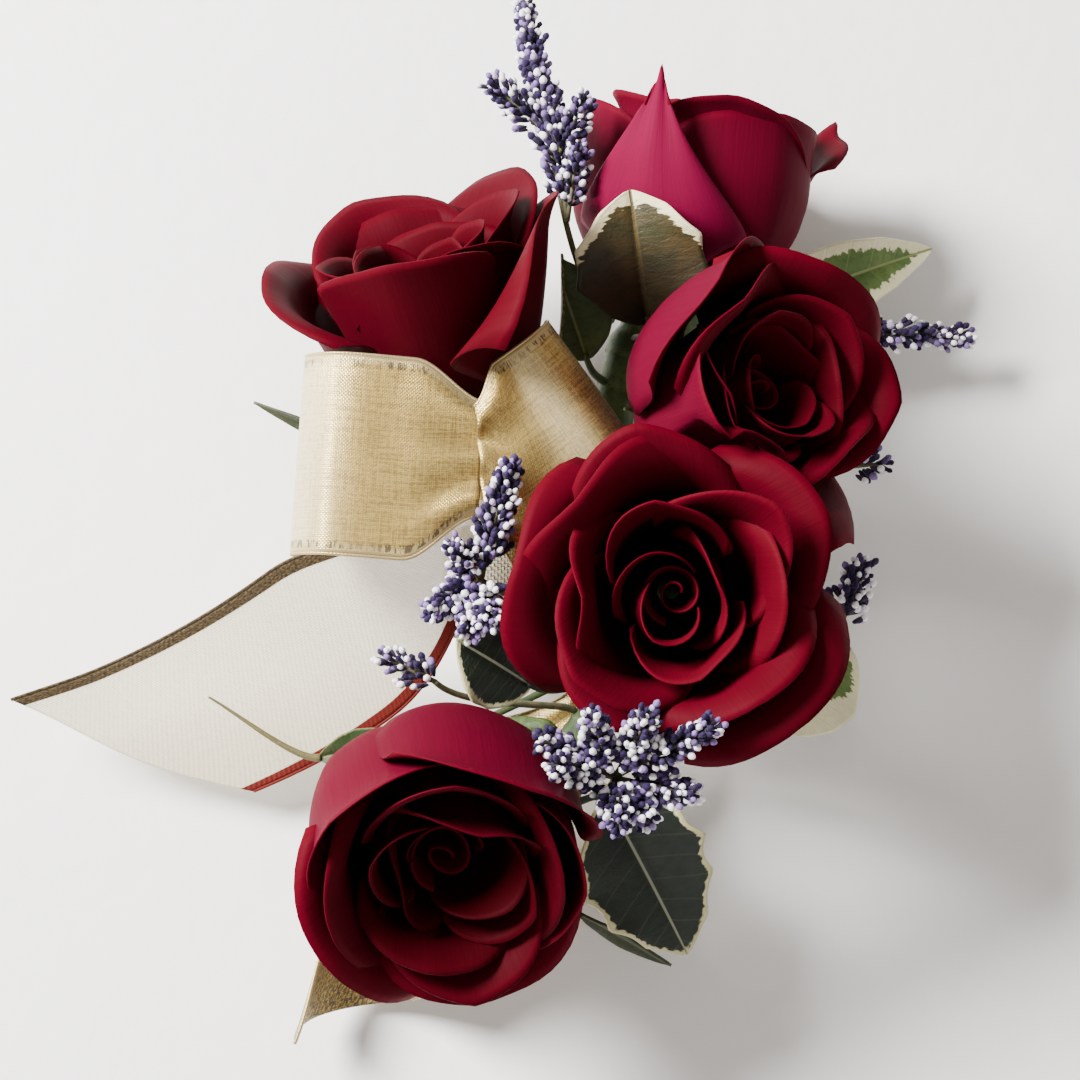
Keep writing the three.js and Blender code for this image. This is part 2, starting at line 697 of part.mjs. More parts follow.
const leaves = {
  top: {
    spineY: 42,
    root: [8, 41, 40],
    tip: [4, 62.5, 52.5],
    rise: [0, 0, 4],
    facing: [0, -0.35, 0.9],
    width: 23,
    fold: 14,
    names: [],
  },
  right: {
    spineY: 36,
    root: [25, 47, 27],
    tip: [63, 66, 13],
    rise: [0, 0, 3],
    facing: [0, -0.3, 0.95],
    width: 14,
    fold: 16,
    names: ["top"],
  },
  bottom: {
    spineY: -42,
    root: [-1, -44, 30],
    tip: [14, -70, 15],
    rise: [0, 0, 4],
    facing: [0.1, -0.2, 0.95],
    width: 24,
    fold: 12,
    names: [],
  },
  side: {
    spineY: -28,
    root: [28, -30, 33],
    tip: [41, -15, 34],
    rise: [3, 0, 1],
    facing: [0.5, -0.3, 0.8],
    width: 12,
    fold: 12,
    names: [],
  },
  dark: {
    spineY: -24,
    root: [-14, -26, 40],
    tip: [-27, -20, 50],
    rise: [0, 0, 2],
    facing: [0, -0.3, 0.95],
    width: 16,
    fold: 15,
    names: [],
  },
  under: {
    spineY: 33,
    root: [-4, 36, 35],
    tip: [-9, 49, 46],
    rise: [0, 0, 2],
    facing: [0, -0.3, 0.95],
    width: 14,
    fold: 12,
    names: ["left"],
  },
  tip: {
    spineY: -21,
    root: [-38, -32.5, 20],
    tip: [-53, -35, 20],
    rise: [0, 0, 2],
    facing: [0, -0.3, 0.95],
    width: 8,
    fold: 15,
    names: [],
  },
};
for (const [name, shape] of Object.entries(leaves)) {
  leaf(name, shape);
}
const blades = {
  left: {
    spineY: 20.2,
    root: [-40, 17, 34],
    tip: [-65, 28, 34],
    rise: [0, 0, 2],
    facing: [0, -0.9, 0.3],
    width: 4,
    fold: 10,
    names: [],
  },
  bottom: {
    spineY: -44,
    root: [-6, -63, 18],
    tip: [11, -72, 13],
    rise: [0, 0, 2],
    facing: [0, -0.9, 0.3],
    width: 4,
    fold: 10,
    names: [],
  },
};
for (const [name, shape] of Object.entries(blades)) {
  leaf(`blade_${name}`, shape);
}

// Sea lavender: a stem from the spine and spikes of florets in whorls, one bead for each whorl.
function sprig(name, { spineY, bend, spikes }) {
  const first = at(...spikes[0].from);
  const [foot, lead] = footOnSpine(spineY, at(...bend), fitGap);
  const stem = new THREE.CubicBezierCurve3(foot, lead, at(...bend), first);
  const parts = [bar(stem, sprigStemRadius, 5, 4)];
  for (const { from, to, whorls } of spikes) {
    const start = at(...from);
    const heading = at(...to).sub(start);
    const length = heading.length();
    const bare = spikes.length > 1 ? length * 0.25 : 0;
    const profile = [[0, -sprigStemRadius], [sprigStemRadius * 1.2, -sprigStemRadius]];
    for (let k = 0; k < whorls; k++) {
      const low = bare + ((length - bare) * k) / whorls;
      const step = (length - bare) / whorls;
      const wide = (floretWhorl / 2) * (1 - 0.45 * (k / whorls) ** 2);
      profile.push([sprigStemRadius * 1.2, low + step * 0.12]);
      profile.push([wide, low + step * 0.62]);
    }
    profile.push([0, length]);
    const aim = new THREE.Quaternion().setFromUnitVectors(up, heading.normalize());
    parts.push(turned(profile, 5).applyQuaternion(aim).translate(...from));
  }
  add(`sprig_${name}`, joined(parts), paints.sprig);
}
const sprigs = {
  top: {
    spineY: 45,
    bend: [-6, 52, 34],
    spikes: [
      { from: [-9, 66, 42], to: [-16, 106, 40], whorls: 7 },
      { from: [-11.1, 78, 41.4], to: [-22, 87, 45], whorls: 2 },
      { from: [-10, 72, 41.7], to: [-3, 83, 44], whorls: 2 },
    ],
  },
  right: { spineY: 33, bend: [20, 40, 15], spikes: [{ from: [41, 48.5, 17], to: [70.5, 48, 12], whorls: 6 }] },
  bud: { spineY: 20.8, bend: [26, 20, 17], spikes: [{ from: [45, 18.5, 26], to: [51, 19, 26], whorls: 2 }] },
  side: { spineY: -22, bend: [30, -18, 26], spikes: [{ from: [41, -14, 40], to: [44.5, -1, 38], whorls: 4 }] },
  centre: {
    spineY: -10,
    bend: [-16, -12, 40],
    spikes: [
      { from: [-22.8, -10, 53], to: [-17.6, 9.2, 61], whorls: 4 },
      { from: [-22.8, -10, 53], to: [-31.4, -16.3, 57], whorls: 2 },
      { from: [-22.8, -10, 53], to: [-21.2, -19.1, 60], whorls: 2 },
      { from: [-22.8, -10, 53], to: [-27, -6.1, 61], whorls: 2 },
      { from: [-22.8, -10, 53], to: [-24.9, -20.2, 57], whorls: 2 },
    ],
  },
  low: {
    spineY: -36,
    bend: [-1, -46, 36],
    spikes: [
      { from: [0, -45, 55], to: [-12.4, -40.2, 65], whorls: 2 },
      { from: [0, -45, 55], to: [-10.5, -45.5, 69], whorls: 2 },
      { from: [0, -45, 55], to: [-3.9, -36.5, 65], whorls: 2 },
      { from: [0, -45, 55], to: [5.7, -36.2, 67], whorls: 2 },
      { from: [0, -45, 55], to: [16.7, -37.7, 66], whorls: 3 },
      { from: [0, -45, 55], to: [13.3, -48.4, 58], whorls: 2 },
      { from: [0, -45, 55], to: [4.6, -52.3, 57], whorls: 2 },
      { from: [0, -45, 55], to: [-0.8, -54.3, 61], whorls: 2 },
    ],
  },
  small: { spineY: -30, bend: [-26, -30, 38], spikes: [{ from: [-31, -26, 44], to: [-40, -22, 47], whorls: 4 }] },
};
for (const [name, shape] of Object.entries(sprigs)) {
  sprig(name, shape);
}

export default corsage;
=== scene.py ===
# Wrist corsage: the petals, ribbon, leaves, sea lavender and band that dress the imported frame.
import math
import random

import bpy
import numpy as np
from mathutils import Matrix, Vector


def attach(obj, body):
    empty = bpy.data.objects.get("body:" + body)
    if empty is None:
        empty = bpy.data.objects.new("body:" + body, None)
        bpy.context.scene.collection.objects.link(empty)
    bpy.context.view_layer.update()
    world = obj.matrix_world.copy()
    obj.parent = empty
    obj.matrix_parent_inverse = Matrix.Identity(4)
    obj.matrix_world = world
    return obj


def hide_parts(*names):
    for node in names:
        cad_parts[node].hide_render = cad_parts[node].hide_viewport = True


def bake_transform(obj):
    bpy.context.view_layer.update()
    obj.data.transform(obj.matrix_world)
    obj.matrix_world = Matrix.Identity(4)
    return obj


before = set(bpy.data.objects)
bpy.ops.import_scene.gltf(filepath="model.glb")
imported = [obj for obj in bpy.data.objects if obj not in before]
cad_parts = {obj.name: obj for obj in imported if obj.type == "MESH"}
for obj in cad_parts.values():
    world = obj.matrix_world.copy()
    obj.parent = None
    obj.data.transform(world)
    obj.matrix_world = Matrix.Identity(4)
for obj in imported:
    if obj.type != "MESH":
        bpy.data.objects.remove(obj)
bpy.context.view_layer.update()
mm = 0.001
fitGap = 0.3  # the frame's clearance between neighbours, in millimetres
up = np.array([0.0, 0.0, 1.0])


# Camera, floor and lights
view = {
    "target": (-12.6, 2.0, 35.0),
    "distance": 540.0,
    "tilt": 15.0,
    "lens": 100.0,
    "sensor": 36.0,
    "clip": 0.01,  # metres, the rest in millimetres and degrees
}
studio = {
    "floorSize": 6.0,
    "floorDrop": 0.0002,
    "keyPlace": (-0.62, 0.30, 0.62),
    "keySize": 0.42,
    "keyPower": 44.0,
    "keyColor": (1.0, 0.985, 0.96),
    "fillPlace": (0.2, -0.7, 0.8),
    "fillSize": 1.0,
    "fillPower": 3.0,
    "fillColor": (1.0, 1.0, 1.0),
    "skyColor": (1.0, 0.925, 0.85, 1.0),
    "skyStrength": 0.5,
}


def setView():
    tilt = math.radians(view["tilt"])
    lens = bpy.data.cameras.new("photoView")
    lens.lens = view["lens"]
    lens.sensor_width = view["sensor"]
    lens.clip_start = view["clip"]
    camera = bpy.data.objects.new("photoView", lens)
    away = Vector((0, -math.sin(tilt), math.cos(tilt))) * view["distance"]
    camera.location = (Vector(view["target"]) + away) * mm
    camera.rotation_euler = (tilt, 0, 0)
    bpy.context.collection.objects.link(camera)
    bpy.context.scene.camera = camera


def areaLight(kind):
    lamp = bpy.data.lights.new(kind + "Light", "AREA")
    lamp.shape = "DISK"
    lamp.size = studio[kind + "Size"]
    lamp.energy = studio[kind + "Power"]
    lamp.color = studio[kind + "Color"]
    light = bpy.data.objects.new(kind + "Light", lamp)
    light.location = studio[kind + "Place"]
    aim = Vector(view["target"]) * mm - Vector(studio[kind + "Place"])
    light.rotation_euler = aim.to_track_quat("-Z", "Y").to_euler()
    bpy.context.collection.objects.link(light)


# Node helpers: they add to the tree on the bench, and a value is a number, a colour or another node's socket
bench = {"tree": None}


def put(kind, inputs=(), **settings):
    made = bench["tree"].nodes.new("ShaderNode" + kind)
    for key, value in settings.items():
        setattr(made, key, value)
    for key, value in dict(inputs).items():
        feed(made.inputs[key], value)
    return made


def feed(socket, value):
    if isinstance(value, bpy.types.NodeSocket):
        bench["tree"].links.new(value, socket)
    else:
        socket.default_value = (*value, 1.0) if socket.type == "RGBA" else value


def calc(operation, first, second=0.0, third=0.0):
    return put("Math", {0: first, 1: second, 2: third}, operation=operation).outputs[0]


def times(first, second):
    return calc("MULTIPLY", first, second)


def inverse(value):
    return calc("SUBTRACT", 1.0, value)


def fade(value, low, high):
    spread = {"Value": value, "From Min": low, "From Max": high}
    return put("MapRange", spread, interpolation_type="SMOOTHSTEP").outputs[0]


def fadeOut(value, low, high):
    return inverse(fade(value, low, high))


def tint(share, first, second, blend="MIX"):
    return put("Mix", {0: share, 6: first, 7: second}, data_type="RGBA", blend_type=blend).outputs[2]


def darken(share, color, by):
    return tint(share, color, by, "MULTIPLY")


def noise(where, scale, detail=2.0, rough=0.5):
    inputs = {"Vector": where, "Scale": scale, "Detail": detail, "Roughness": rough}
    return put("TexNoise", inputs).outputs["Fac"]


def strands(where, scale, detail=2.0, rough=0.5):  # noise with a scale of its own along each axis
    drawn = put("Mapping", {"Vector": where, "Scale": scale}).outputs[0]
    return noise(drawn, 1.0, detail, rough)


def layer(name):
    return put("Attribute", attribute_name=name).outputs["Fac"]


def flatMap():
    return put("UVMap", uv_map="flatMap").outputs[0]


def objectSpot():
    return put("TexCoord").outputs["Object"]


def newFinish(name, **constants):
    finish = bpy.data.materials.new(name)
    finish.use_nodes = True
    bench["tree"] = finish.node_tree
    inputs = finish.node_tree.nodes["Principled BSDF"].inputs
    for key, value in constants.items():
        feed(inputs[key], value)
    return finish, inputs


def surface(inputs, color, rough, height, depth, strength):
    # Roughness is a grain with its gain and its base; the relief's depth is in metres.
    feed(inputs["Base Color"], color)
    feed(inputs["Roughness"], calc("MULTIPLY_ADD", *rough))
    bump = {"Height": height, "Distance": depth, "Strength": strength}
    feed(inputs["Normal"], put("Bump", bump).outputs[0])


def newGroup(name, ins, outs):
    tree = bench["tree"] = bpy.data.node_groups.new(name, "ShaderNodeTree")
    for sockets, way in ((ins, "INPUT"), (outs, "OUTPUT")):
        for socket, kind in sockets.items():
            tree.interface.new_socket(socket, in_out=way, socket_type="NodeSocket" + kind)
    inner = tree.nodes.new("NodeGroupInput").outputs
    outer = tree.nodes.new("NodeGroupOutput").inputs
    return tree, inner, outer


def useGroup(group, **inputs):
    return put("Group", inputs, node_tree=group).outputs


# Shared effects
def makeStreaks():  # fine veins that run along a petal or a leaf
    ins = {"Map": "Vector", "Fine": "Float", "Long": "Float"}
    group, inner, outer = newGroup("plantStreaks", ins, {"Streak": "Float", "Height": "Float"})
    scale = put("CombineXYZ", {0: inner["Fine"], 1: inner["Long"]}).outputs[0]
    drawn = put("VectorMath", {0: inner["Map"], 1: scale}, operation="MULTIPLY").outputs[0]
    streak = noise(drawn, 1.0, 4.0, 0.6)
    nap = noise(objectSpot(), 2600.0, 1.0)
    feed(outer["Streak"], streak)
    feed(outer["Height"], calc("MULTIPLY_ADD", nap, 0.35, streak))
    return group


def makeThreads():  # plain weave, from a map in millimetres
    ins = {"Map": "Vector", "Pitch": "Float"}
    group, inner, outer = newGroup("wovenThreads", ins, {"Weave": "Float", "Slub": "Float"})
    part = put("SeparateXYZ", {0: inner["Map"]}).outputs
    counts = [calc("DIVIDE", part[k], inner["Pitch"]) for k in (0, 1)]
    waves = [calc("SINE", times(count, math.pi)) for count in counts]
    warp, weft = [calc("ABSOLUTE", wave) for wave in waves]
    cells = calc("ADD", *(calc("FLOOR", count) for count in counts))
    over = calc("PINGPONG", cells, 1.0)
    feed(outer["Weave"], put("Mix", {0: over, 2: warp, 3: weft}).outputs[0])
    feed(outer["Slub"], strands(inner["Map"], (0.5, 3.5, 1.0), 3.0))
    return group


def makeMottle():  # soft blotches with fine speckle
    ins = {"Size": "Float", "Speckle": "Float"}
    group, inner, outer = newGroup("softMottle", ins, {"Blotch": "Float", "Grain": "Float"})
    where = objectSpot()
    feed(outer["Blotch"], fade(noise(where, inner["Size"], 3.0), 0.3, 0.7))
    feed(outer["Grain"], noise(where, inner["Speckle"], 2.0))
    return group


streaks = makeStreaks()
threads = makeThreads()
mottle = makeMottle()


# Finishes
petalLook = {
    "inside": (0.070, 0.001, 0.0065),
    # painted light: a brighter red for the inner petals and heart, standing in for light that comes through
    # the petals
    "deep": (0.085, 0.0022, 0.0075),
    "outside": (0.066, 0.0012, 0.0075),
    "blush": (0.130, 0.0026, 0.026),
    # painted highlight colour for the petal rims
    "rim": (0.115, 0.0015, 0.010),
    # painted shade for the petal feet, deep inside the bloom
    "footShade": (0.4, 0.36, 0.38),
    "veinShade": (0.92, 0.89, 0.9),
    # painted shade: the tint that darkens a whole rose where little light falls on it
    "duskShade": (0.4, 0.4, 0.36),
    "sheenTint": (1, 0.1, 0.2),
}


def petalFinish(look=petalLook):
    finish, inputs = newFinish("velvetPetal", **{
        "Specular IOR Level": 0.025, "Sheen Weight": 0.008, "Sheen Roughness": 0.35,
        "Sheen Tint": look["sheenTint"]})
    flat = flatMap()
    grain = useGroup(streaks, Map=flat, Fine=60.0, Long=3.0)
    along = put("SeparateXYZ", {0: flat}).outputs[1]
    outside = tint(layer("blush"), look["outside"], look["blush"])
    color = tint(layer("outside"), look["inside"], outside)
    # painted light: inner petals take the brighter heart red
    color = tint(layer("depth"), color, look["deep"])
    # painted highlight: lighter along each petal's rim
    color = tint(times(fade(along, 0.93, 1.0), 0.45), color, look["rim"])
    # painted shade: darker towards each petal's foot, deep inside the bloom
    color = darken(fadeOut(along, 0.05, 0.5), color, look["footShade"])
    color = darken(fade(grain["Streak"], 0.35, 0.75), color, look["veinShade"])
    # painted shade: whole roses darkened where less light falls on them, more so in their inner whorls
    color = darken(layer("dusk"), color, look["duskShade"])
    surface(inputs, color, (grain["Streak"], 0.16, 0.5), grain["Height"], 0.00016, 0.35)
    return finish


goldLook = {
    "pitch": 0.32,
    # bright gold is painted on the glints, dark gold lies between them
    "bright": (0.77, 0.565, 0.17),
    "dark": (0.24, 0.155, 0.04),
    # painted highlight colour for the band where a loop's fold catches the light
    "pale": (0.84, 0.76, 0.55),
    "edge": (0.50, 0.38, 0.17),
    "dash": (0.06, 0.045, 0.03),
    "hem": 1.6,
    "groove": (0.8, 2.2),
    "blur": 0.2,
    "metal": 0.75,
}


def goldFinish(look=goldLook):
    finish, inputs = newFinish("goldRibbon", **{"Sheen Weight": 0.15, "Anisotropic": 0.3})
    flat = flatMap()
    cloth = useGroup(threads, Map=flat, Pitch=look["pitch"])
    # painted glints: noise streaks that, over the real weave, lighten the gold where it would catch the light
    sparkle = strands(flat, (2.4, 1.0, 1), 5.0, 0.8)
    weft = strands(flat, (0.12, 3.4, 1), 3.0, 0.6)
    warp = strands(flat, (2.6, 0.1, 1), 2.0, 0.6)
    uneven = calc("MULTIPLY_ADD", sparkle, 0.8, -0.4)
    paintedGlint = fade(calc("MULTIPLY_ADD", calc("ADD", weft, warp), 0.5, uneven), 0.34, 0.62)
    color = tint(times(cloth["Weave"], paintedGlint), look["dark"], look["bright"])
    pale = layer("pale")
    # painted highlight: a pale band across each loop, with less metal under it
    color = tint(times(pale, cloth["Slub"]), color, look["pale"])
    gap = layer("edgeGap")
    blur = look["blur"]
    color = tint(fadeOut(gap, look["hem"], look["hem"] + blur), color, look["edge"])
    near, far = look["groove"]
    groove = times(fade(gap, near, near + blur), fadeOut(gap, far, far + blur))
    patches = fade(strands(flat, (0.02, 0.11, 1), 1.0), 0.34, 0.52)
    dashes = times(fade(strands(flat, (0.48, 1.76, 1)), 0.46, 0.56), patches)
    color = tint(times(times(groove, dashes), 0.85), color, look["dash"])
    speckle = fade(strands(flat, (2.2, 1.2, 1), 4.0, 0.7), 0.56, 0.46)
    burnt = times(layer("burn"), speckle)
    color = tint(times(burnt, 0.9), color, look["dash"])
    shine = inverse(calc("MAXIMUM", pale, burnt))
    feed(inputs["Metallic"], times(shine, look["metal"]))
    surface(inputs, color, (paintedGlint, -0.14, 0.42), cloth["Weave"], 0.00012, 0.4)
    return finish


sheerLook = {
    "pitch": 0.5,
    "cloth": (0.87, 0.79, 0.60),
    "slub": (0.74, 0.66, 0.48),
    "upperEdge": (0.021, 0.013, 0.006),
    "upperFleck": (0.088, 0.060, 0.026),
    # painted reflection: the red of the nearby rose on the lower edge band
    "lowerEdge": (0.115, 0.008, 0.005),
    "edgeWidth": 2.4,
    "blur": 0.2,
    "cover": (0.42, 0.72),
}


def sheerFinish(look=sheerLook):
    finish, inputs = newFinish("sheerRibbon", **{"Sheen Weight": 0.04, "Specular IOR Level": 0.12})
    flat = flatMap()
    cloth = useGroup(threads, Map=flat, Pitch=look["pitch"])
    color = tint(fade(cloth["Slub"], 0.4, 0.7), look["cloth"], look["slub"])
    wide = look["edgeWidth"]
    band = fadeOut(layer("edgeGap"), wide, wide + look["blur"])
    flecks = fade(strands(flat, (3, 1.3, 1), 3.0, 0.7), 0.35, 0.7)
    upper = tint(flecks, look["upperEdge"], look["upperFleck"])
    # the upper edge band keeps its own brown; the lower one takes a painted reflection of the red rose
    edge = tint(layer("lowerSide"), upper, look["lowerEdge"])
    low, high = look["cover"]
    cover = calc("MULTIPLY_ADD", cloth["Weave"], high - low, low)
    feed(inputs["Alpha"], calc("MAXIMUM", cover, band))
    color = tint(band, color, edge)
    surface(inputs, color, (cloth["Slub"], 0.25, 0.4), cloth["Weave"], 0.0002, 0.4)
    return finish


# the gloom colour is painted shade for the part of a leaf near its stalk
leafShade = {"streak": (0.62, 0.68, 0.6), "gloom": (0.2, 0.17, 0.15), "veinCount": 24.0, "veinSlant": -0.012}


def leafFinish(name, look):
    finish, inputs = newFinish(name, **{"Specular IOR Level": 0.3})
    flat = flatMap()
    grain = useGroup(streaks, Map=flat, Fine=9.0, Long=26.0)
    spots = useGroup(mottle, Size=120.0, Speckle=900.0)
    rib = layer("rib")
    ragged = calc("MULTIPLY_ADD", strands(flat, (6, 30, 1)), look["jag"], look["margin"])
    cream = fadeOut(calc("SUBTRACT", layer("rim"), ragged), -0.25, 0.25)
    color = tint(spots["Blotch"], look["green"], look["second"])
    color = darken(fade(grain["Streak"], 0.4, 0.8), color, leafShade["streak"])
    along = put("SeparateXYZ", {0: flat}).outputs[1]
    slanted = calc("MULTIPLY_ADD", rib, leafShade["veinSlant"], along)
    waves = calc("SINE", times(slanted, leafShade["veinCount"]))
    sideVein = fadeOut(calc("ABSOLUTE", waves), 0.05, 0.2)
    color = tint(times(sideVein, look["veins"]), color, look["vein"])
    color = tint(cream, color, tint(spots["Grain"], look["cream"], look["creamDark"]))
    color = tint(fadeOut(rib, look["rib"], look["rib"] + 0.25), color, look["vein"])
    # painted shade: darker near the stalk, where the leaf lies in shadow
    color = darken(layer("gloom"), color, leafShade["gloom"])
    ridges = calc("MULTIPLY_ADD", sideVein, -3 * look["veins"], grain["Height"])
    surface(inputs, color, (grain["Streak"], 0.25, look["rough"]), ridges, 0.0003, 0.5)
    return finish


tapeLook = {"green": (0.035, 0.075, 0.020), "second": (0.085, 0.13, 0.035), "worn": (0.16, 0.20, 0.075),
            "crease": (0.6, 0.62, 0.55)}


def tapeFinish(look=tapeLook):
    finish, inputs = newFinish("floralTape", **{"Specular IOR Level": 0.4})
    spots = useGroup(mottle, Size=240.0, Speckle=1500.0)
    crepe = strands(flatMap(), (14, 0.5, 1), 3.0, 0.7)
    color = tint(spots["Blotch"], look["green"], look["second"])
    # lighter on the raised edge of each turn of tape
    color = tint(times(layer("lap"), 0.55), color, look["worn"])
    color = darken(fade(crepe, 0.45, 0.7), color, look["crease"])
    surface(inputs, color, (spots["Grain"], 0.25, 0.42), crepe, 0.0003, 0.7)
    return finish


calyxLook = {"green": (0.055, 0.12, 0.030), "second": (0.10, 0.16, 0.045), "vein": (0.6, 0.66, 0.55),
             "edge": (0.22, 0.24, 0.10)}


def calyxFinish(look=calyxLook):
    finish, inputs = newFinish("roseCalyx", **{"Specular IOR Level": 0.35, "Sheen Weight": 0.1})
    grain = useGroup(streaks, Map=flatMap(), Fine=12.0, Long=4.0)
    spots = useGroup(mottle, Size=180.0, Speckle=1200.0)
    color = tint(spots["Blotch"], look["green"], look["second"])
    color = darken(fade(grain["Streak"], 0.4, 0.75), color, look["vein"])
    color = tint(fadeOut(layer("rim"), 0.15, 0.6), color, look["edge"])
    surface(inputs, color, (grain["Streak"], 0.2, 0.45), grain["Height"], 0.0002, 0.5)
    return finish


floretLook = {
    "cup": ((0.011, 0.007, 0.020), (0.045, 0.030, 0.070)),
    "violet": (0.016, 0.007, 0.040),
    "lilac": (0.22, 0.145, 0.36),
    "white": (0.90, 0.87, 0.91),
    "stalk": ((0.09, 0.10, 0.045), (0.16, 0.13, 0.075)),
    "speck": (0.8, 0.78, 0.82),
}


def floretFinish(look=floretLook):
    finish, inputs = newFinish("seaLavender", **{"Sheen Weight": 0.06, "Specular IOR Level": 0.15})
    spots = useGroup(mottle, Size=500.0, Speckle=2200.0)
    tone = layer("tone")
    head = tint(fade(tone, 0.3, 0.52), look["violet"], look["lilac"])
    head = tint(fade(tone, 0.54, 0.68), head, look["white"])
    color = tint(layer("tip"), tint(tone, *look["cup"]), head)
    color = tint(layer("stalk"), color, tint(spots["Blotch"], *look["stalk"]))
    color = darken(fade(spots["Grain"], 0.45, 0.7), color, look["speck"])
    surface(inputs, color, (spots["Grain"], 0.2, 0.6), spots["Grain"], 0.0001, 0.4)
    return finish


elasticLook = {"ivory": ((0.80, 0.74, 0.62), (0.86, 0.81, 0.70)), "gaps": (0.72, 0.68, 0.58), "pitch": 0.6}


def elasticFinish(look=elasticLook):
    finish, inputs = newFinish("ribbedElastic", **{"Sheen Weight": 0.2, "Specular IOR Level": 0.3})
    cloth = useGroup(threads, Map=flatMap(), Pitch=look["pitch"])
    spots = useGroup(mottle, Size=160.0, Speckle=1500.0)
    color = tint(spots["Blotch"], *look["ivory"])
    color = darken(inverse(cloth["Weave"]), color, look["gaps"])
    surface(inputs, color, (cloth["Slub"], 0.2, 0.68), cloth["Weave"], 0.0003, 0.8)
    return finish


metalLooks = {
    "clipMetal": {"first": (0.56, 0.57, 0.59), "second": (0.66, 0.67, 0.69), "rough": 0.28},
    "wireEnamel": {"first": (0.09, 0.11, 0.07), "second": (0.14, 0.16, 0.11), "rough": 0.42},
}


def metalFinish(name):
    finish, inputs = newFinish(name, Metallic=1.0)
    look = metalLooks[name]
    spots = useGroup(mottle, Size=90.0, Speckle=700.0)
    brushed = strands(objectSpot(), (2400, 60, 2400), 3.0, 0.6)
    color = tint(spots["Blotch"], look["first"], look["second"])
    color = darken(fade(brushed, 0.5, 0.8), color, (0.8, 0.8, 0.82))
    surface(inputs, color, (brushed, 0.25, look["rough"]), brushed, 0.00004, 0.4)
    return finish


def paperFinish():
    finish, inputs = newFinish("palePaper", **{"Specular IOR Level": 0.2})
    spots = useGroup(mottle, Size=9.0, Speckle=130.0)
    color = tint(spots["Blotch"], (0.90, 0.895, 0.885), (0.93, 0.925, 0.92))
    surface(inputs, color, (spots["Grain"], 0.1, 0.75), spots["Grain"], 0.0008, 0.35)
    return finish


def dressStudio():
    world = bpy.data.worlds.new("softStudio")
    world.use_nodes = True
    sky = world.node_tree.nodes["Background"].inputs
    sky["Color"].default_value = studio["skyColor"]
    sky["Strength"].default_value = studio["skyStrength"]
    bpy.context.scene.world = world
    half = studio["floorSize"] / 2
    paper = bpy.data.meshes.new("floor")
    corners = [(-half, -half, 0), (half, -half, 0), (half, half, 0), (-half, half, 0)]
    paper.from_pydata(corners, [], [(0, 1, 2, 3)])
    floor = bpy.data.objects.new("floor", paper)
    floor.location.z = -studio["floorDrop"]
    paper.materials.append(paperFinish())
    bpy.context.collection.objects.link(floor)
    areaLight("key")
    areaLight("fill")


setView()
dressStudio()
print("stage: camera, floor and lights are set")


# Shapes: numpy grids in millimetres, gathered into one mesh for each piece
def smooth(t):
    t = np.clip(t, 0, 1)
    return t * t * (3 - 2 * t)


def eased(values, v):  # the value at v from 0 to 1 along evenly spaced values
    spot = np.clip(v, 0, 1) * (len(values) - 1)
    step = np.minimum(np.floor(spot).astype(int), len(values) - 2)
    values = np.asarray(values, float)
    return values[step] + (values[step + 1] - values[step]) * smooth(spot - step)


def ramp(count, low=0):  # even steps from low to 1
    return np.linspace(low, 1, count)


def joined(*parts):  # coordinates brought to one shape and set side by side
    return np.stack(np.broadcast_arrays(*parts), axis=-1)


def pathAt(spots, marks, path):  # points along a path, by marks that grow along it
    return joined(*(np.interp(spots, marks, column) for column in path.T))


def at(point):
    return np.array(point, float)


def unit(vector):
    return np.asarray(vector, float) / np.linalg.norm(vector)


def units(vectors):
    return vectors / np.linalg.norm(vectors, axis=1, keepdims=True)


def stepsOf(path):
    return np.linalg.norm(np.diff(path, axis=0), axis=1)


def runOf(path):  # the length of a path up to each of its points
    return np.concatenate([[0], np.cumsum(stepsOf(path))])


def sideOf(along):  # a direction square to this one, level unless it runs nearly straight up
    return np.cross(along, up if abs(along[2]) < 0.9 else np.array([1.0, 0, 0]))


def newHeap():
    return {"points": [], "faces": [], "flat": [], "count": 0, "layers": {}}


def pour(heap, points, faces, flat, **layers):
    start = heap["count"]
    heap["points"].append(points)
    heap["faces"].extend(tuple(i + start for i in face) for face in faces)
    heap["flat"].append(flat)
    for name, values in layers.items():
        held = heap["layers"].setdefault(name, [])
        held.append(np.broadcast_to(np.asarray(values, float).ravel(), (len(points),)))
    heap["count"] += len(points)


def makePiece(node, heap, finish, body, replaces=True):  # the piece is named after the node
    name = node[0] + node.title().replace("_", "")[1:]
    mesh = bpy.data.meshes.new(name)
    mesh.from_pydata((np.concatenate(heap["points"]) * mm).tolist(), [], heap["faces"])
    mesh.polygons.foreach_set("use_smooth", [True] * len(mesh.polygons))
    corners = np.empty(len(mesh.loops), np.int32)
    mesh.loops.foreach_get("vertex_index", corners)
    flat = np.concatenate(heap["flat"])
    mesh.uv_layers.new(name="flatMap").data.foreach_set("uv", flat[corners].astype(np.float32).ravel())
    for key, values in heap["layers"].items():
        held = mesh.attributes.new(key, "FLOAT", "POINT")
        held.data.foreach_set("value", np.concatenate(values).astype(np.float32))
    mesh.materials.append(finish)
    mesh.validate()
    piece = bpy.data.objects.new(name, mesh)
    bpy.context.collection.objects.link(piece)
    if body:
        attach(piece, body)
    if replaces:
        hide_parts(node)
    return piece


def quads(*corners):
    return np.stack([corner.ravel() for corner in corners], axis=1).tolist()


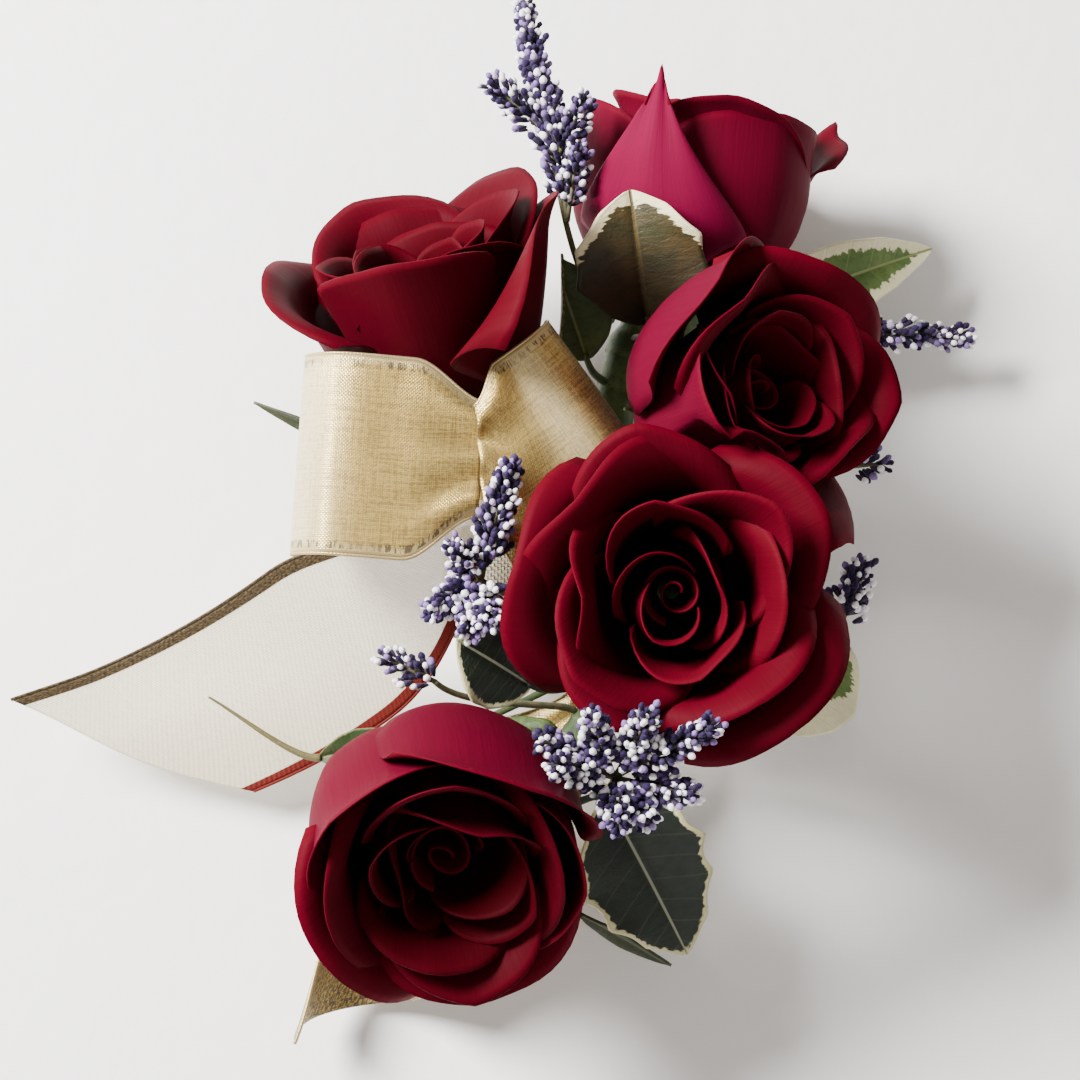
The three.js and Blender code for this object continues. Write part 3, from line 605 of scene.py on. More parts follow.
def sheetOf(heap, grid, thickness, flat=None, closed=False, outside=None, **layers):
    # A thin solid over grid[across, along]. The front is the side of across x along; closed joins both ends.
    columns, rows = grid.shape[:2]
    across = np.gradient(grid, axis=0)
    along = np.gradient(grid, axis=1)
    if closed:
        along[:, 0] = along[:, -1] = grid[:, 1] - grid[:, -2]
    normal = np.cross(across, along)
    normal /= np.maximum(np.linalg.norm(normal, axis=2, keepdims=True), 1e-9)
    offset = normal * (np.broadcast_to(thickness, (columns, rows))[..., None] / 2)
    if flat is None:
        flat = joined(ramp(columns)[:, None], ramp(rows))
    layers = {key: np.broadcast_to(value, (columns, rows)) for key, value in layers.items()}
    if closed:
        rows -= 1
        grid, offset, flat = grid[:, :-1], offset[:, :-1], flat[:, :-1]
        layers = {key: value[:, :-1] for key, value in layers.items()}
    points = np.concatenate([(grid + offset).reshape(-1, 3), (grid - offset).reshape(-1, 3)])
    size = columns * rows
    front = np.arange(size).reshape(columns, rows)
    if closed:
        front = np.concatenate([front, front[:, :1]], axis=1)
    back = front + size
    faces = quads(front[:-1, :-1], front[1:, :-1], front[1:, 1:], front[:-1, 1:])
    faces += quads(back[:-1, :-1], back[:-1, 1:], back[1:, 1:], back[1:, :-1])
    faces += quads(front[0, :-1], front[0, 1:], back[0, 1:], back[0, :-1])
    faces += quads(front[-1, 1:], front[-1, :-1], back[-1, :-1], back[-1, 1:])
    if not closed:
        faces += quads(front[1:, 0], front[:-1, 0], back[:-1, 0], back[1:, 0])
        faces += quads(front[:-1, -1], front[1:, -1], back[1:, -1], back[:-1, -1])
    twice = {key: np.tile(value.ravel(), 2) for key, value in layers.items()}
    if outside is not None:
        twice["outside"] = np.repeat((outside, 0.0), size)
    pour(heap, points, faces, np.tile(flat.reshape(-1, 2), (2, 1)), **twice)


def ringFaces(rings, sides):  # the faces of a round bar, with its two ends
    index = np.arange(rings * sides).reshape(rings, sides)
    after = np.roll(index, -1, axis=1)
    faces = np.stack([index[:-1], after[:-1], after[1:], index[1:]], axis=-1).reshape(-1, 4).tolist()
    return faces + [tuple(index[0][::-1]), tuple(index[-1])]


def tubeOf(heap, path, radius, sides=10, **layers):
    # A round bar along a path with flat ends. The radius is one number, one a ring or one a point.
    path = np.asarray(path, float)
    rings = len(path)
    along = units(np.gradient(path, axis=0))
    side = sideOf(along[0])
    radius = np.asarray(radius, float)
    radius = np.broadcast_to(radius[:, None] if radius.ndim == 1 else radius, (rings, sides))
    turn = np.arange(sides) * 2 * math.pi / sides
    points = np.empty((rings, sides, 3))
    for k in range(rings):
        side = unit(side - along[k] * np.dot(side, along[k]))
        other = np.cross(along[k], side)
        star = np.outer(np.cos(turn), side) + np.outer(np.sin(turn), other)
        points[k] = path[k] + radius[k][:, None] * star
    flat = joined(turn / (2 * math.pi), runOf(path)[:, None]).reshape(-1, 2)
    spread = {key: np.broadcast_to(value, (rings, sides)).ravel() for key, value in layers.items()}
    pour(heap, points.reshape(-1, 3), ringFaces(rings, sides), flat, **spread)


def evenly(path, count):  # a path resampled at equal steps
    run = runOf(path)
    return pathAt(np.linspace(0, run[-1], count), run, path)


def routeThrough(points, steps=40):  # a smooth curve through points, by centripetal Catmull-Rom
    points = [at(point) for point in points]
    points = [2 * points[0] - points[1], *points, 2 * points[-1] - points[-2]]
    line = []
    for a, b, c, d in zip(points, points[1:], points[2:], points[3:]):
        gaps = [max(math.sqrt(np.linalg.norm(q - p)), 1e-4) for p, q in ((a, b), (b, c), (c, d))]
        first = ((b - a) / gaps[0] - (c - a) / (gaps[0] + gaps[1]) + (c - b) / gaps[1]) * gaps[1]
        last = ((c - b) / gaps[1] - (d - b) / (gaps[1] + gaps[2]) + (d - c) / gaps[2]) * gaps[1]
        square, cube = 3 * (c - b) - 2 * first - last, 2 * (b - c) + first + last
        line += [b + first * t + square * t**2 + cube * t**3 for t in np.arange(steps) / steps]
    line.append(points[-2])
    return np.array(line)


def bezier(a, b, c, d, count):
    t = ramp(count)[:, None]
    return (1 - t) ** 3 * a + 3 * (1 - t) ** 2 * t * b + 3 * (1 - t) * t**2 * c + t**3 * d


def turnTo(face):  # the shortest turn that takes +Z to face
    return np.array(Vector((0, 0, 1)).rotation_difference(Vector(face)).to_matrix())


petal = petalFinish()
gold = goldFinish()
sheer = sheerFinish()
tape = tapeFinish()
calyxGreen = calyxFinish()
lavender = floretFinish()
elasticCloth = elasticFinish()
clipMetal = metalFinish("clipMetal")
wireEnamel = metalFinish("wireEnamel")
print("stage: finishes are mixed")


# Spine and the feet of stems on it
spine = {
    "radius": 4.2,
    "height": 26.6,
    "route": [(5, 46), (0.4, 26), (0, 22), (0, 0), (0, -22), (-1, -26), (-13, -44)],
    "lapStep": 6.5,
    "lapRise": 0.35,
    "sides": 24,
}
winding = {"ringStep": 0.45, "fewestRings": 12, "endTaper": 0.35}
spineLine = routeThrough([(x, y, spine["height"]) for x, y in spine["route"]])


def footOnSpine(y, toward, gap, lead=3.0):
    k = int(np.argmin(abs(spineLine[:, 1] - y)))
    along = unit(spineLine[min(k + 1, len(spineLine) - 1)] - spineLine[max(k - 1, 0)])
    away = at(toward) - spineLine[k]
    away = unit(away - along * np.dot(away, along))
    foot = spineLine[k] + away * (spine["radius"] + gap)
    return foot, foot + away * lead


def wrappedBar(heap, path, shape):
    # Floral tape wound on the slant: each turn laps the last, so the radius climbs and drops along a helix.
    path = evenly(path, max(int(stepsOf(path).sum() / winding["ringStep"]), winding["fewestRings"]))
    radius, sides = shape["radius"], shape["sides"]
    length = runOf(path)[:, None]
    phase = (length / shape["lapStep"] + np.arange(sides)[None, :] / sides) % 1.0
    lap = smooth((phase - 0.75) / 0.2) * (1 - smooth((phase - 0.95) / 0.05))  # the raised edge of each turn
    drop = [winding["endTaper"] * (1 - smooth(gap / radius)) for gap in (length, length[-1] - length)]
    ends = 1 - drop[0] - drop[1]
    tubeOf(heap, path, radius * ends - shape["lapRise"] * (1 - phase) * ends, sides, lap=lap)


heap = newHeap()
wrappedBar(heap, spineLine, spine)
makePiece("taped_spine", heap, tape, "corsage")


# Roses
# Each hand entry changes one petal, by whorl and number: "open" in degrees, other values as in the whorls.
cupped = (84, 60, 27, 4, -10, -12)  # leans of a petal that holds the bloom shut
goblet = (72, 36, 22, 17, 14, 12)  # leans of a petal that widens steadily to its rim
# Each bed also sets how much shade is painted on the whole rose and how much more on each whorl further in.
beds = {
    "centre": dict(
        base=(10.5, -8, 37.5), face=(0, -0.26, 0.97), spin=100, size=0.96, open=0, spineY=-5, yieldsTo=(),
        blush=0.3, gloom=1.0, dusk=0.25, heartDusk=0.0, body="corsage", seed=3, hand={
            (0, 0): dict(length=0.9, open=10, lip=52, lipFrom=0.66),
            (0, 1): dict(length=0.93, open=6, lip=50, lipFrom=0.7, blush=0.6),
            (0, 2): dict(length=0.87, open=4, lip=44, lipFrom=0.74),
            (0, 3): dict(length=1.0, open=6, azimuth=-8, lip=46, lipFrom=0.74),
            (0, 4): dict(length=0.93, open=6, azimuth=-6, lip=50, lipFrom=0.7),
            (1, 0): dict(open=9, lip=46, lipFrom=0.72),
            (1, 1): dict(open=7, lip=40, lipFrom=0.74),
            (1, 2): dict(open=3, lip=36),
            (1, 3): dict(open=3, lip=40, lipFrom=0.74)}),
    "bottom": dict(
        base=(-33, -41, 31), face=(0.17, -0.66, 0.73), spin=68, size=1.03, open=-6, spineY=-34,
        yieldsTo=("centre",), blush=0.3, gloom=1.5, dusk=0.2, heartDusk=0.3, body="rose_bottom", seed=5,
        hand={
            (0, 0): dict(leans=cupped, open=0, lip=36, blush=0.2, length=1.05, over=(1, 1), azimuth=-6),
            (0, 1): dict(leans=cupped, open=12, length=1.0, azimuth=4, over=(-1, -1), depth=0.2),
            (0, 2): dict(open=-14, length=0.98, over=(1, 1)),
            (0, 3): dict(open=-15, length=0.98, over=(-1, 1)),
            (0, 4): dict(leans=cupped, open=4, lip=34, length=0.98, azimuth=4, over=(-1, -1))}),
    "right": dict(
        base=(14.5, 24.5, 36), face=(0.52, -0.03, 0.84), spin=288, size=0.9, open=-8, spineY=26,
        yieldsTo=("centre",), blush=0.3, gloom=1.0, dusk=0.15, heartDusk=0.1, body="rose_right", seed=7,
        hand={
            (0, 0): dict(open=6, length=1.08, taper=0.45),
            (0, 1): dict(open=-8),
            (0, 2): dict(open=-12),
            (0, 3): dict(leans=cupped, open=6, lip=30, blush=0.4, length=1.04, over=(1, 1)),
            (0, 4): dict(leans=cupped, open=0, blush=0.3, length=1.02, over=(-1, -1))}),
    "left": dict(
        base=(-26, 25.5, 29), face=(-0.25, 0.77, 0.58), spin=268, size=1.06, open=-4, spineY=24.5,
        yieldsTo=("right",), blush=0.1, gloom=1.0, dusk=0.45, heartDusk=0.1, body="rose_left", seed=11, hand={
            (0, 0): dict(leans=goblet, open=2, lip=10, length=0.97, over=(-1, -1), depth=0.6),
            (0, 1): dict(leans=goblet, open=6, over=(1, -1), roll=60, azimuth=2, depth=0.5, width=49),
            (0, 2): dict(open=-8),
            (0, 3): dict(open=-10),
            (0, 4): dict(leans=(74, 40, 20, 10, 12, 20), open=8, length=0.98, azimuth=-3, width=50, lap=0.9,
                         roll=14, over=(1, 1))}),
    "top": dict(
        base=(13.5, 52, 24), face=(0.15, 0.95, 0.25), spin=238, size=0.98, open=-10, spineY=40,
        yieldsTo=("left", "right"), blush=0.2, gloom=1.0, dusk=0.05, heartDusk=0.1, body="rose_top", seed=13,
        hand={
            (0, 0): dict(leans=cupped, open=12, taper=0.91, point=0.08, lip=0, width=52, lap=1.0, blush=1.0,
                         wave=0.2, roll=10, over=(1, 1), length=1.04),
            (0, 1): dict(leans=cupped, open=4, lip=14, azimuth=-6, width=54, lap=1.0, wave=1.8),
            (0, 2): dict(open=-2, taper=0.55, point=0.1, roll=4, lip=6, length=1.02, width=52),
            (0, 3): dict(open=-12),
            (0, 4): dict(leans=cupped, open=6)}),
}
whorls = [  # outermost first
    dict(part="outer_petals", count=5, length=44, width=43, foot=5.6, low=0.7, turn=0, opening=1.0,
         leans=(78, 46, 17, 8, 22, 54), tuck=0.08, lap=0.7, lip=38, wave=0.9, depth=0.0, stray=3),
    dict(part="outer_petals", count=4, length=40, width=38, foot=5.0, low=1.4, turn=30, opening=0.7,
         leans=(73, 39, 12, 3, 10, 30), tuck=0.1, lap=0.6, lip=30, wave=1.0, depth=0.12, stray=6),
    dict(part="inner_petals", count=4, length=36, width=31, foot=4.2, low=2.0, turn=0, opening=0.3,
         leans=(66, 34, 9, -1, 2, 14), tuck=0.13, lap=0.6, lip=24, wave=1.0, depth=0.4, stray=8),
    dict(part="inner_petals", count=3, length=31.5, width=26, foot=3.2, low=2.6, turn=20, opening=0.0,
         leans=(58, 27, 5, -5, -6, 2), tuck=0.16, lap=0.5, lip=18, wave=0.9, depth=0.75, stray=8),
]
petalStyle = {
    "thickness": 0.5,
    "rimThickness": 0.3,
    "across": 20,
    "along": 26,
    "yieldGap": 1.4,
    "fill": 0.94,  # of a petal's share of the turn
    "droop": 0.2,  # of the crown towards its margins
    "pointWidth": 0.2,
    "footSpread": 0.2,
    "fullFrom": 0.6,  # share of the length
    "taperFrom": 0.25,
    "tuckedRoll": 10,
}
heart = {"turns": 1.7, "radius": 5.2, "foot": 2.7, "low": 2.9, "top": 25.0, "thickness": 0.4, "flare": 0.9,
         "dip": 5, "nod": 1.2, "outside": 0.4, "blush": 0.3}
hip = {"radius": 5.0, "height": 9.0, "neck": 4.4, "sepals": 5, "sepalLength": 10.5, "sepalWidth": 5.5,
       "sepalGap": 0.8, "sepalThickness": 0.5}
stem = {"radius": 2.0, "bendGap": 0.6, "lapStep": 4.2, "lapRise": 0.22, "sides": 14, "elbow": (2.3, 0.26),
        "lead": 0.075}
sectors, levels = 36, 12  # a bloom's reach is kept by direction and level


def petalGrid(shape):
    # One petal about the rose's axis: each column is a strip from foot to rim, bent by the leans.
    style = petalStyle
    columns, rows = style["across"], style["along"]
    u = ramp(columns + 1, -1)
    v = ramp(rows + 1)
    left, right = shape["over"]  # 1 for a margin rolled out over its neighbour, -1 for one tucked under
    side = np.where(u > 0, right, left) * abs(u)
    crown = 1 - style["droop"] * abs(u) ** 3 + shape["point"] * np.exp(-((u / style["pointWidth"]) ** 2))
    reach = shape["length"] * crown
    radius = np.full(columns + 1, shape["foot"], float)
    height = np.full(columns + 1, shape["low"], float)
    grid = np.empty((columns + 1, rows + 1, 3))
    for j in range(rows + 1):
        grown = math.sin(min(v[j] / style["fullFrom"], 1) * math.pi / 2)
        spread = style["footSpread"] + (1 - style["footSpread"]) * grown
        spread *= 1 - shape["taper"] * max((v[j] - style["taperFrom"]) / (1 - style["taperFrom"]), 0)
        half = shape["width"] / 2 * spread
        most = shape["share"] * (1 + shape["lap"] * smooth((v[j] - 0.3) / 0.4))
        turn = shape["azimuth"] + u * np.minimum(half / np.maximum(radius, 1), most)
        ripple = shape["wave"] * np.sin(u * shape["beats"] + shape["phase"]) * v[j] ** 3
        size = radius * (1 + shape["tuck"] * side * smooth(v[j] * 1.6)) + ripple
        grid[:, j] = joined(size * np.cos(turn), size * np.sin(turn), height)
        middle = (j + 0.5) / rows
        roll = np.where(side > 0, shape["roll"], style["tuckedRoll"])
        curl = (roll * side * abs(side) * v[j] + shape["open"]) * v[j]
        folded = smooth((middle - shape["lipFrom"]) / (1 - shape["lipFrom"]))
        lip = shape["lip"] * folded * (0.55 + 0.45 * u**2)
        lean = np.radians(eased(shape["leans"], middle) + curl + lip)
        radius = radius + np.sin(lean) * reach / rows
        height = height + np.cos(lean) * reach / rows
    return grid


def heartGrid(size):  # the youngest petals, wound as one strip about the axis and drawn in at its foot
    share = ramp(97)[:, None]
    v = ramp(19)[None, :]
    turn = share * heart["turns"] * 2 * math.pi
    foot = heart["foot"] * (0.25 + 0.75 * share)
    rim = heart["radius"] * size * (0.2 + 0.8 * share) * (1 + 0.05 * np.sin(turn * 1.5))
    flare = heart["flare"] * smooth((v - 0.85) / 0.15) * share
    radius = foot + (rim - foot) * np.sin(v * math.pi / 2) + flare
    nod = heart["nod"] * np.sin(turn * 1.37)
    tall = heart["top"] * size - heart["low"] - heart["dip"] * share * (1 - share) + nod
    return joined(radius * np.cos(turn), radius * np.sin(turn), heart["low"] + tall * v)


def bloomOf(bed):
    # The petals of one rose in its own frame, each with a little of its own.
    dice = random.Random(bed["seed"])
    petals = []
    for ring, whorl in enumerate(whorls):
        count, stray = whorl["count"], whorl["stray"]
        turned = dice.randrange(count)
        over = [1 if (k + turned) % count % 2 == 0 else -1 for k in range(count)]
        for k in range(count):
            shape = dict(whorl, point=0.02, taper=0.0, roll=22, lipFrom=0.8, blush=bed["blush"], ring=ring)
            # painted shade, rising with each whorl further in
            shape["dusk"] = bed["dusk"] + ring * bed["heartDusk"]
            # painted light: how far the petals of each whorl take the brighter heart red
            shape["depth"] = min(whorl["depth"] * bed["gloom"], 1.0)
            shape["share"] = math.pi / count * petalStyle["fill"]
            shape["over"] = (-over[k - 1], over[k])
            shape["beats"] = dice.uniform(2.5, 4.5)
            shape["phase"] = dice.uniform(0, 6.28)
            azimuth = bed["spin"] + whorl["turn"] + k * 360 / count + dice.uniform(-stray, stray) * 1.5
            shape["length"] *= bed["size"] * (1 + 0.008 * dice.uniform(-stray, stray))
            shape["width"] *= bed["size"]
            shape["open"] = bed["open"] * whorl["opening"] + dice.uniform(-stray, stray)
            change = dict(bed["hand"].get((ring, k), {}))
            shape["length"] *= change.pop("length", 1.0)
            shape["azimuth"] = math.radians(azimuth + change.pop("azimuth", 0.0))
            shape.update(change)
            petals.append((shape, petalGrid(shape)))
    return petals


def sectorOf(points):
    return np.degrees(np.arctan2(points[:, 1], points[:, 0])) / (360 / sectors)


def reachOf(petals):
    # How far the bloom reaches from its axis, by direction and level.
    points = np.concatenate([grid.reshape(-1, 3) for shape, grid in petals if shape["ring"] == 0])
    top = points[:, 2].max()
    sector = np.floor(sectorOf(points)).astype(int) % sectors
    level = np.clip((points[:, 2] / top * levels).astype(int), 0, levels)
    reach = np.zeros((sectors, levels + 1))
    np.maximum.at(reach, (sector, level), np.hypot(points[:, 0], points[:, 1]))
    wide = np.max([np.roll(np.roll(reach, i, 0), j, 1) for i in (-1, 0, 1) for j in (-1, 0, 1)], axis=0)
    return {"top": top, "reach": wide}


placed = {}
for name, bed in beds.items():
    petals = bloomOf(bed)
    turn = turnTo(unit(bed["face"]))
    placed[name] = {"turn": turn, "base": at(bed["base"]), "petals": petals, **reachOf(petals)}


def seated(home, points):
    return points @ home["turn"].T + home["base"]


def giveWay(points, names, gap=petalStyle["yieldGap"]):
    # Moves points out of the blooms that they give way to, straight away from their axes.
    shape = points.shape
    points = points.reshape(-1, 3).copy()
    for name in names:
        home = placed[name]
        local = (points - home["base"]) @ home["turn"]
        radius = np.hypot(local[:, 0], local[:, 1])
        spot = sectorOf(local) % sectors - 0.5
        low, part = np.floor(spot).astype(int) % sectors, spot % 1.0
        level = np.clip(local[:, 2] / home["top"] * levels, 0, levels)
        step = np.minimum(np.floor(level).astype(int), levels - 1)
        rise = level - step
        near, far = [home["reach"][column, step] * (1 - rise) + home["reach"][column, step + 1] * rise
                     for column in (low, (low + 1) % sectors)]
        limit = near * (1 - part) + far * part + gap
        inside = (local[:, 2] > 0) & (local[:, 2] < home["top"] + gap) & (radius < limit)
        local[inside, :2] *= (limit[inside] / np.maximum(radius[inside], 0.1))[:, None]
        points[inside] = seated(home, local[inside])
    return points.reshape(shape)


def growCalyx(heap, bed, home):
    wide, tall, neck = hip["radius"], hip["height"], hip["neck"]
    profile = routeThrough([(stem["radius"], 0, -tall), (wide * 0.9, 0, -tall * 0.75), (wide, 0, -tall * 0.5),
                            (neck, 0, -1.5), (neck + 1, 0, -0.1)], 6)
    tubeOf(heap, seated(home, profile * (0, 0, 1)), profile[:, 0], 24, rim=5.0)
    u = ramp(9, -1)[:, None]
    t = ramp(17)[None, :]
    half = hip["sepalWidth"] / 2 * np.maximum((1 - t**1.5) * (0.55 + 0.9 * t * (1 - t) * 2), 0.04)
    radius = neck - 0.6 + hip["sepalLength"] * t * 0.93
    height = -1.5 + 2 * t - 1.4 * t**2 + 0.5 * u**2
    for k in range(hip["sepals"]):
        azimuth = math.radians(bed["spin"] + (k + 0.5) * 360 / hip["sepals"])
        sepal = joined(radius * math.cos(azimuth) - u * half * math.sin(azimuth),
                       radius * math.sin(azimuth) + u * half * math.cos(azimuth), height)
        sepal = giveWay(seated(home, sepal), bed["yieldsTo"], hip["sepalGap"])
        sheetOf(heap, sepal, hip["sepalThickness"], rim=half * (1 - abs(u)))


def stemLine(bed, home):
    face = unit(bed["face"])
    hipFoot = home["base"] - face * (hip["height"] + fitGap)
    foot, lead = footOnSpine(bed["spineY"], hipFoot - face * 2, stem["bendGap"])
    reach = np.linalg.norm(hipFoot - foot)
    least, share = stem["elbow"]
    elbow = hipFoot - face * max(least, reach * share)
    lead = foot + (lead - foot) * max(1, reach * stem["lead"])
    return bezier(hipFoot, elbow, lead, foot, 40)


def growRose(name, bed):
    home = placed[name]
    heaps = {part: newHeap() for part in ("outer_petals", "inner_petals", "heart", "calyx", "stem")}
    v = ramp(petalStyle["along"] + 1)
    thick = petalStyle["thickness"] + (petalStyle["rimThickness"] - petalStyle["thickness"]) * v[None, :] ** 2
    for shape, grid in home["petals"]:
        colors = {key: shape[key] for key in ("depth", "blush", "dusk")}
        grid = giveWay(seated(home, grid), bed["yieldsTo"])
        sheetOf(heaps[shape["part"]], grid, thick, outside=1.0, **colors)
    scroll = seated(home, heartGrid(bed["size"]))
    # the heart takes the painted heart red in full, and the rose's painted shade with the extra for its inner
    # whorls
    sheetOf(heaps["heart"], scroll, heart["thickness"], outside=heart["outside"], depth=1.0,
            blush=bed["blush"] * heart["blush"], dusk=bed["dusk"] + bed["heartDusk"])
    growCalyx(heaps["calyx"], bed, home)
    wrappedBar(heaps["stem"], stemLine(bed, home), stem)
    greens = {"calyx": (calyxGreen, "calyx"), "stem": (tape, "floral_tape")}
    for part, heap in heaps.items():
        finish, slot = greens.get(part, (petal, "petal"))
        makePiece(f"rose_{name}_{part}", heap, finish, bed["body"])


for name, bed in beds.items():
    growRose(name, bed)
print("stage: roses are grown")


# Bow: two pinched loops, a pleated knot, its wire and two tails
bow = {
    "width": 35.0,
    "thickness": 0.4,
    "pinch": 13.0,
    "knot": (-22, 9, 50),
    "knotRadius": 4.0,
    "knotHeight": 0.8,  # share of its radius
    "edgeWire": 0.32,
    "pleat": 0.8,
    "pleats": 9,
    "sag": 0.7,
    "left": dict(heading=176, length=29, rise=15, tilt=-10, skew=0.0, fan=3.2, atKnot=(-13, 7), under=(-7, 8),
                 margins=(-19.5, 15.5), start=(0.8, 1.4), pale=0.85, paleAt=0.44, paleOver=0.2),
    "right": dict(heading=38, length=21, rise=10, tilt=20, skew=0.62, fan=6.0, atKnot=(-4, 12), under=(-8, 3),
                  margins=(-19, 16), start=(-2.4, 2.2), pale=0.5, paleAt=0.24, paleOver=0.12),
}
loopOutline = [(0.35, 0.45), (0.8, 0.5), (1, 0), (0.8, -0.4), (0.35, -0.2)]  # shares of length and of rise
tails = {
    "left": dict(route=[(-36, -5, 35.5), (-49, -14, 26), (-68, -24, 15), (-87, -32, 9), (-104.5, -38, 8)],
                 roll=-24, curl=0.0, slant=34, drawIn=0.2, body="tail_left", restsOn="bow_knot"),
    "bottom": dict(route=[(-20, -42, 15), (-35, -61, 7), (-43, -73, 3), (-48.5, -87, 0.8)],
                   roll=0, curl=2.0, slant=20, drawIn=0.0, body="tail_bottom", restsOn="taped_spine"),
}
tailStyle = {
    "columns": 41,
    "rows": 120,
    "ripple": 0.7,
    "ripples": 9,
    "gather": 0.4,
    "gathers": 8,
    "burnFrom": 0.74,  # share of the length
    "burnOver": 0.16,
    "lowY": -26,  # where the bottom tail leaves the spine
}
bowWire = {"spineY": 4, "radius": 0.36, "twist": 0.38, "turns": 9}
knot = at(bow["knot"])
knotUnder = bow["knotRadius"] * bow["knotHeight"] + fitGap


def ribbonSheet(node, grid, finish, body, pale=0.0, lowerSide=0.0, burn=0.0):
    # The cloth with its map in millimetres, and a fine wire in each edge.
    half = np.linalg.norm(np.diff(grid, axis=0), axis=2).sum(axis=0) / 2
    u = ramp(grid.shape[0], -1)[:, None]
    run = runOf(grid[grid.shape[0] // 2])
    heap = newHeap()
    sheetOf(heap, grid, bow["thickness"], joined(u * half, run), edgeGap=(1 - abs(u)) * half, pale=pale,
            lowerSide=lowerSide, burn=burn)
    for side in (0, -1):
        tubeOf(heap, grid[side], bow["edgeWire"], 8, edgeGap=0.2, pale=0.0, burn=0.0,
               lowerSide=np.asarray(lowerSide).ravel()[side])
    return makePiece(node, heap, finish, body), run[-1]


def bowLoop(loop):
    heading = math.radians(loop["heading"])
    out = np.array([math.cos(heading), math.sin(heading), 0])
    tilt = math.radians(loop["tilt"])
    lifted = up * math.cos(tilt) + np.cross(out, up) * math.sin(tilt)
    across = np.cross(lifted, out)
    start = bow["knotRadius"] + fitGap
    outline = [(loop["start"][0], bow["knotRadius"] * bow["knotHeight"] + loop["start"][1])]
    outline += [(start + loop["length"] * far, loop["rise"] * lift) for far, lift in loopOutline]
    outline.append((start, -0.8))
    line = routeThrough([(far, 0, lift) for far, lift in outline], 16)
    v = ramp(len(line))
    spread = np.where(v < 0.5, smooth(2 * v * loop["fan"]), 1 - smooth((v - 0.52) / 0.2))
    margins = []
    for knotEnd, full, below in zip(loop["atKnot"], loop["margins"], loop["under"]):
        ending = np.where(v < 0.5, knotEnd, below)
        margins.append(ending + (full - ending) * spread)
    u = ramp(41, -1)[:, None]
    wide = margins[0] + (margins[1] - margins[0]) * (u + 1) / 2
    nearKnot = 1 - smooth((1 - abs(2 * v - 1)) * 2.6)
    pleats = bow["pleat"] * np.cos(u * bow["pleats"]) * nearKnot * np.sign(0.5 - v)
    sag = bow["sag"] * (1 - u**2) * spread * np.sign(0.5 - v)
    lift = line[:, 2] + pleats + sag
    reach = line[:, 0] + loop["skew"] * wide * (1 - smooth(v / 0.25))
    grid = knot + reach[..., None] * out + lift[..., None] * lifted + wide[..., None] * across
    # painted highlight: a pale band across the loop where its fold catches the light
    return grid, loop["pale"] * smooth(1 - abs(v - loop["paleAt"]) / loop["paleOver"])[None, :]


for side in ("left", "right"):
    grid, pale = bowLoop(bow[side])
    loop, length = ribbonSheet(f"bow_loop_{side}", grid, gold, "corsage", pale)

heap = newHeap()
phi = np.linspace(0, 2 * math.pi, 65)[None, :]
theta = np.linspace(0.06, math.pi - 0.06, 33)[:, None]
pleat = 1 - 0.05 * abs(np.sin(4 * phi + 1.5 * np.cos(theta)))
ball = joined(np.sin(theta) * np.cos(phi) * pleat, np.sin(theta) * np.sin(phi) * pleat,
              bow["knotHeight"] * np.cos(theta))
flat = joined(theta * bow["knotRadius"], phi * bow["knotRadius"])
sheetOf(heap, knot + ball * (bow["knotRadius"] - bow["thickness"] / 2), bow["thickness"], flat, closed=True,
        edgeGap=5.0, pale=0.0, lowerSide=0.0, burn=0.0)
makePiece("bow_knot", heap, gold, "corsage")

wireTop = knot + np.array([bow["knotRadius"] * 0.3, -bow["knotRadius"] * 0.2, -knotUnder])
wireFoot, wireLead = footOnSpine(bowWire["spineY"], wireTop, fitGap)
core = evenly(bezier(wireTop, wireTop + np.array([2, -1, -12]), wireLead, wireFoot, 60), 90)
heap = newHeap()
for strand in (0, math.pi):  # two strands twisted together
    turn = np.linspace(0, bowWire["turns"] * 2 * math.pi, len(core)) + strand
    tubeOf(heap, core + bowWire["twist"] * joined(np.cos(turn), np.sin(turn), 0), bowWire["radius"], 8)
makePiece("bow_wire", heap, wireEnamel, "corsage")


def tailGrid(start, shape):
    style = tailStyle
    columns, rows = style["columns"], style["rows"]
    line = routeThrough([start, *shape["route"]])
    length = stepsOf(line).sum()
    line = evenly(line, 400)
    along = units(np.gradient(line, axis=0))
    grid = np.empty((columns, rows + 1, 3))
    roll = math.radians(shape["roll"])
    for i, u in enumerate(ramp(columns, -1)):
        share = ramp(rows + 1) * (1 - shape["slant"] / length * (1 + u) / 2)
        k = share * (len(line) - 1)
        spot, ahead = [pathAt(k, np.arange(len(line)), values) for values in (line, along)]
        level = units(joined(-ahead[:, 1], ahead[:, 0], 0))
        across = level * math.cos(roll) + np.cross(ahead, level) * math.sin(roll)
        normal = -np.cross(across, ahead)
        half = (bow["pinch"] + (bow["width"] - bow["pinch"]) * smooth(share * 2.5)) / 2
        half *= 1 - shape["drawIn"] * max(u, 0) * smooth((share - 0.4) / 0.5)
        bend = np.maximum(shape["curl"] * smooth(share), 1e-3)
        ripple = style["ripple"] * np.sin(share * style["ripples"] + u * 1.3) * smooth(share * 4)
        gathers = style["gather"] * np.cos(u * style["gathers"]) * (1 - smooth(share * 5))
        grid[i] = spot + across * (np.sin(u * bend) * half / bend)[:, None]
        grid[i] += normal * ((1 - np.cos(u * bend)) * half / bend + (ripple + gathers))[:, None]
    grid[..., 2] = np.maximum(grid[..., 2], bow["edgeWire"] + 0.1)  # clear of the table
    return grid, length


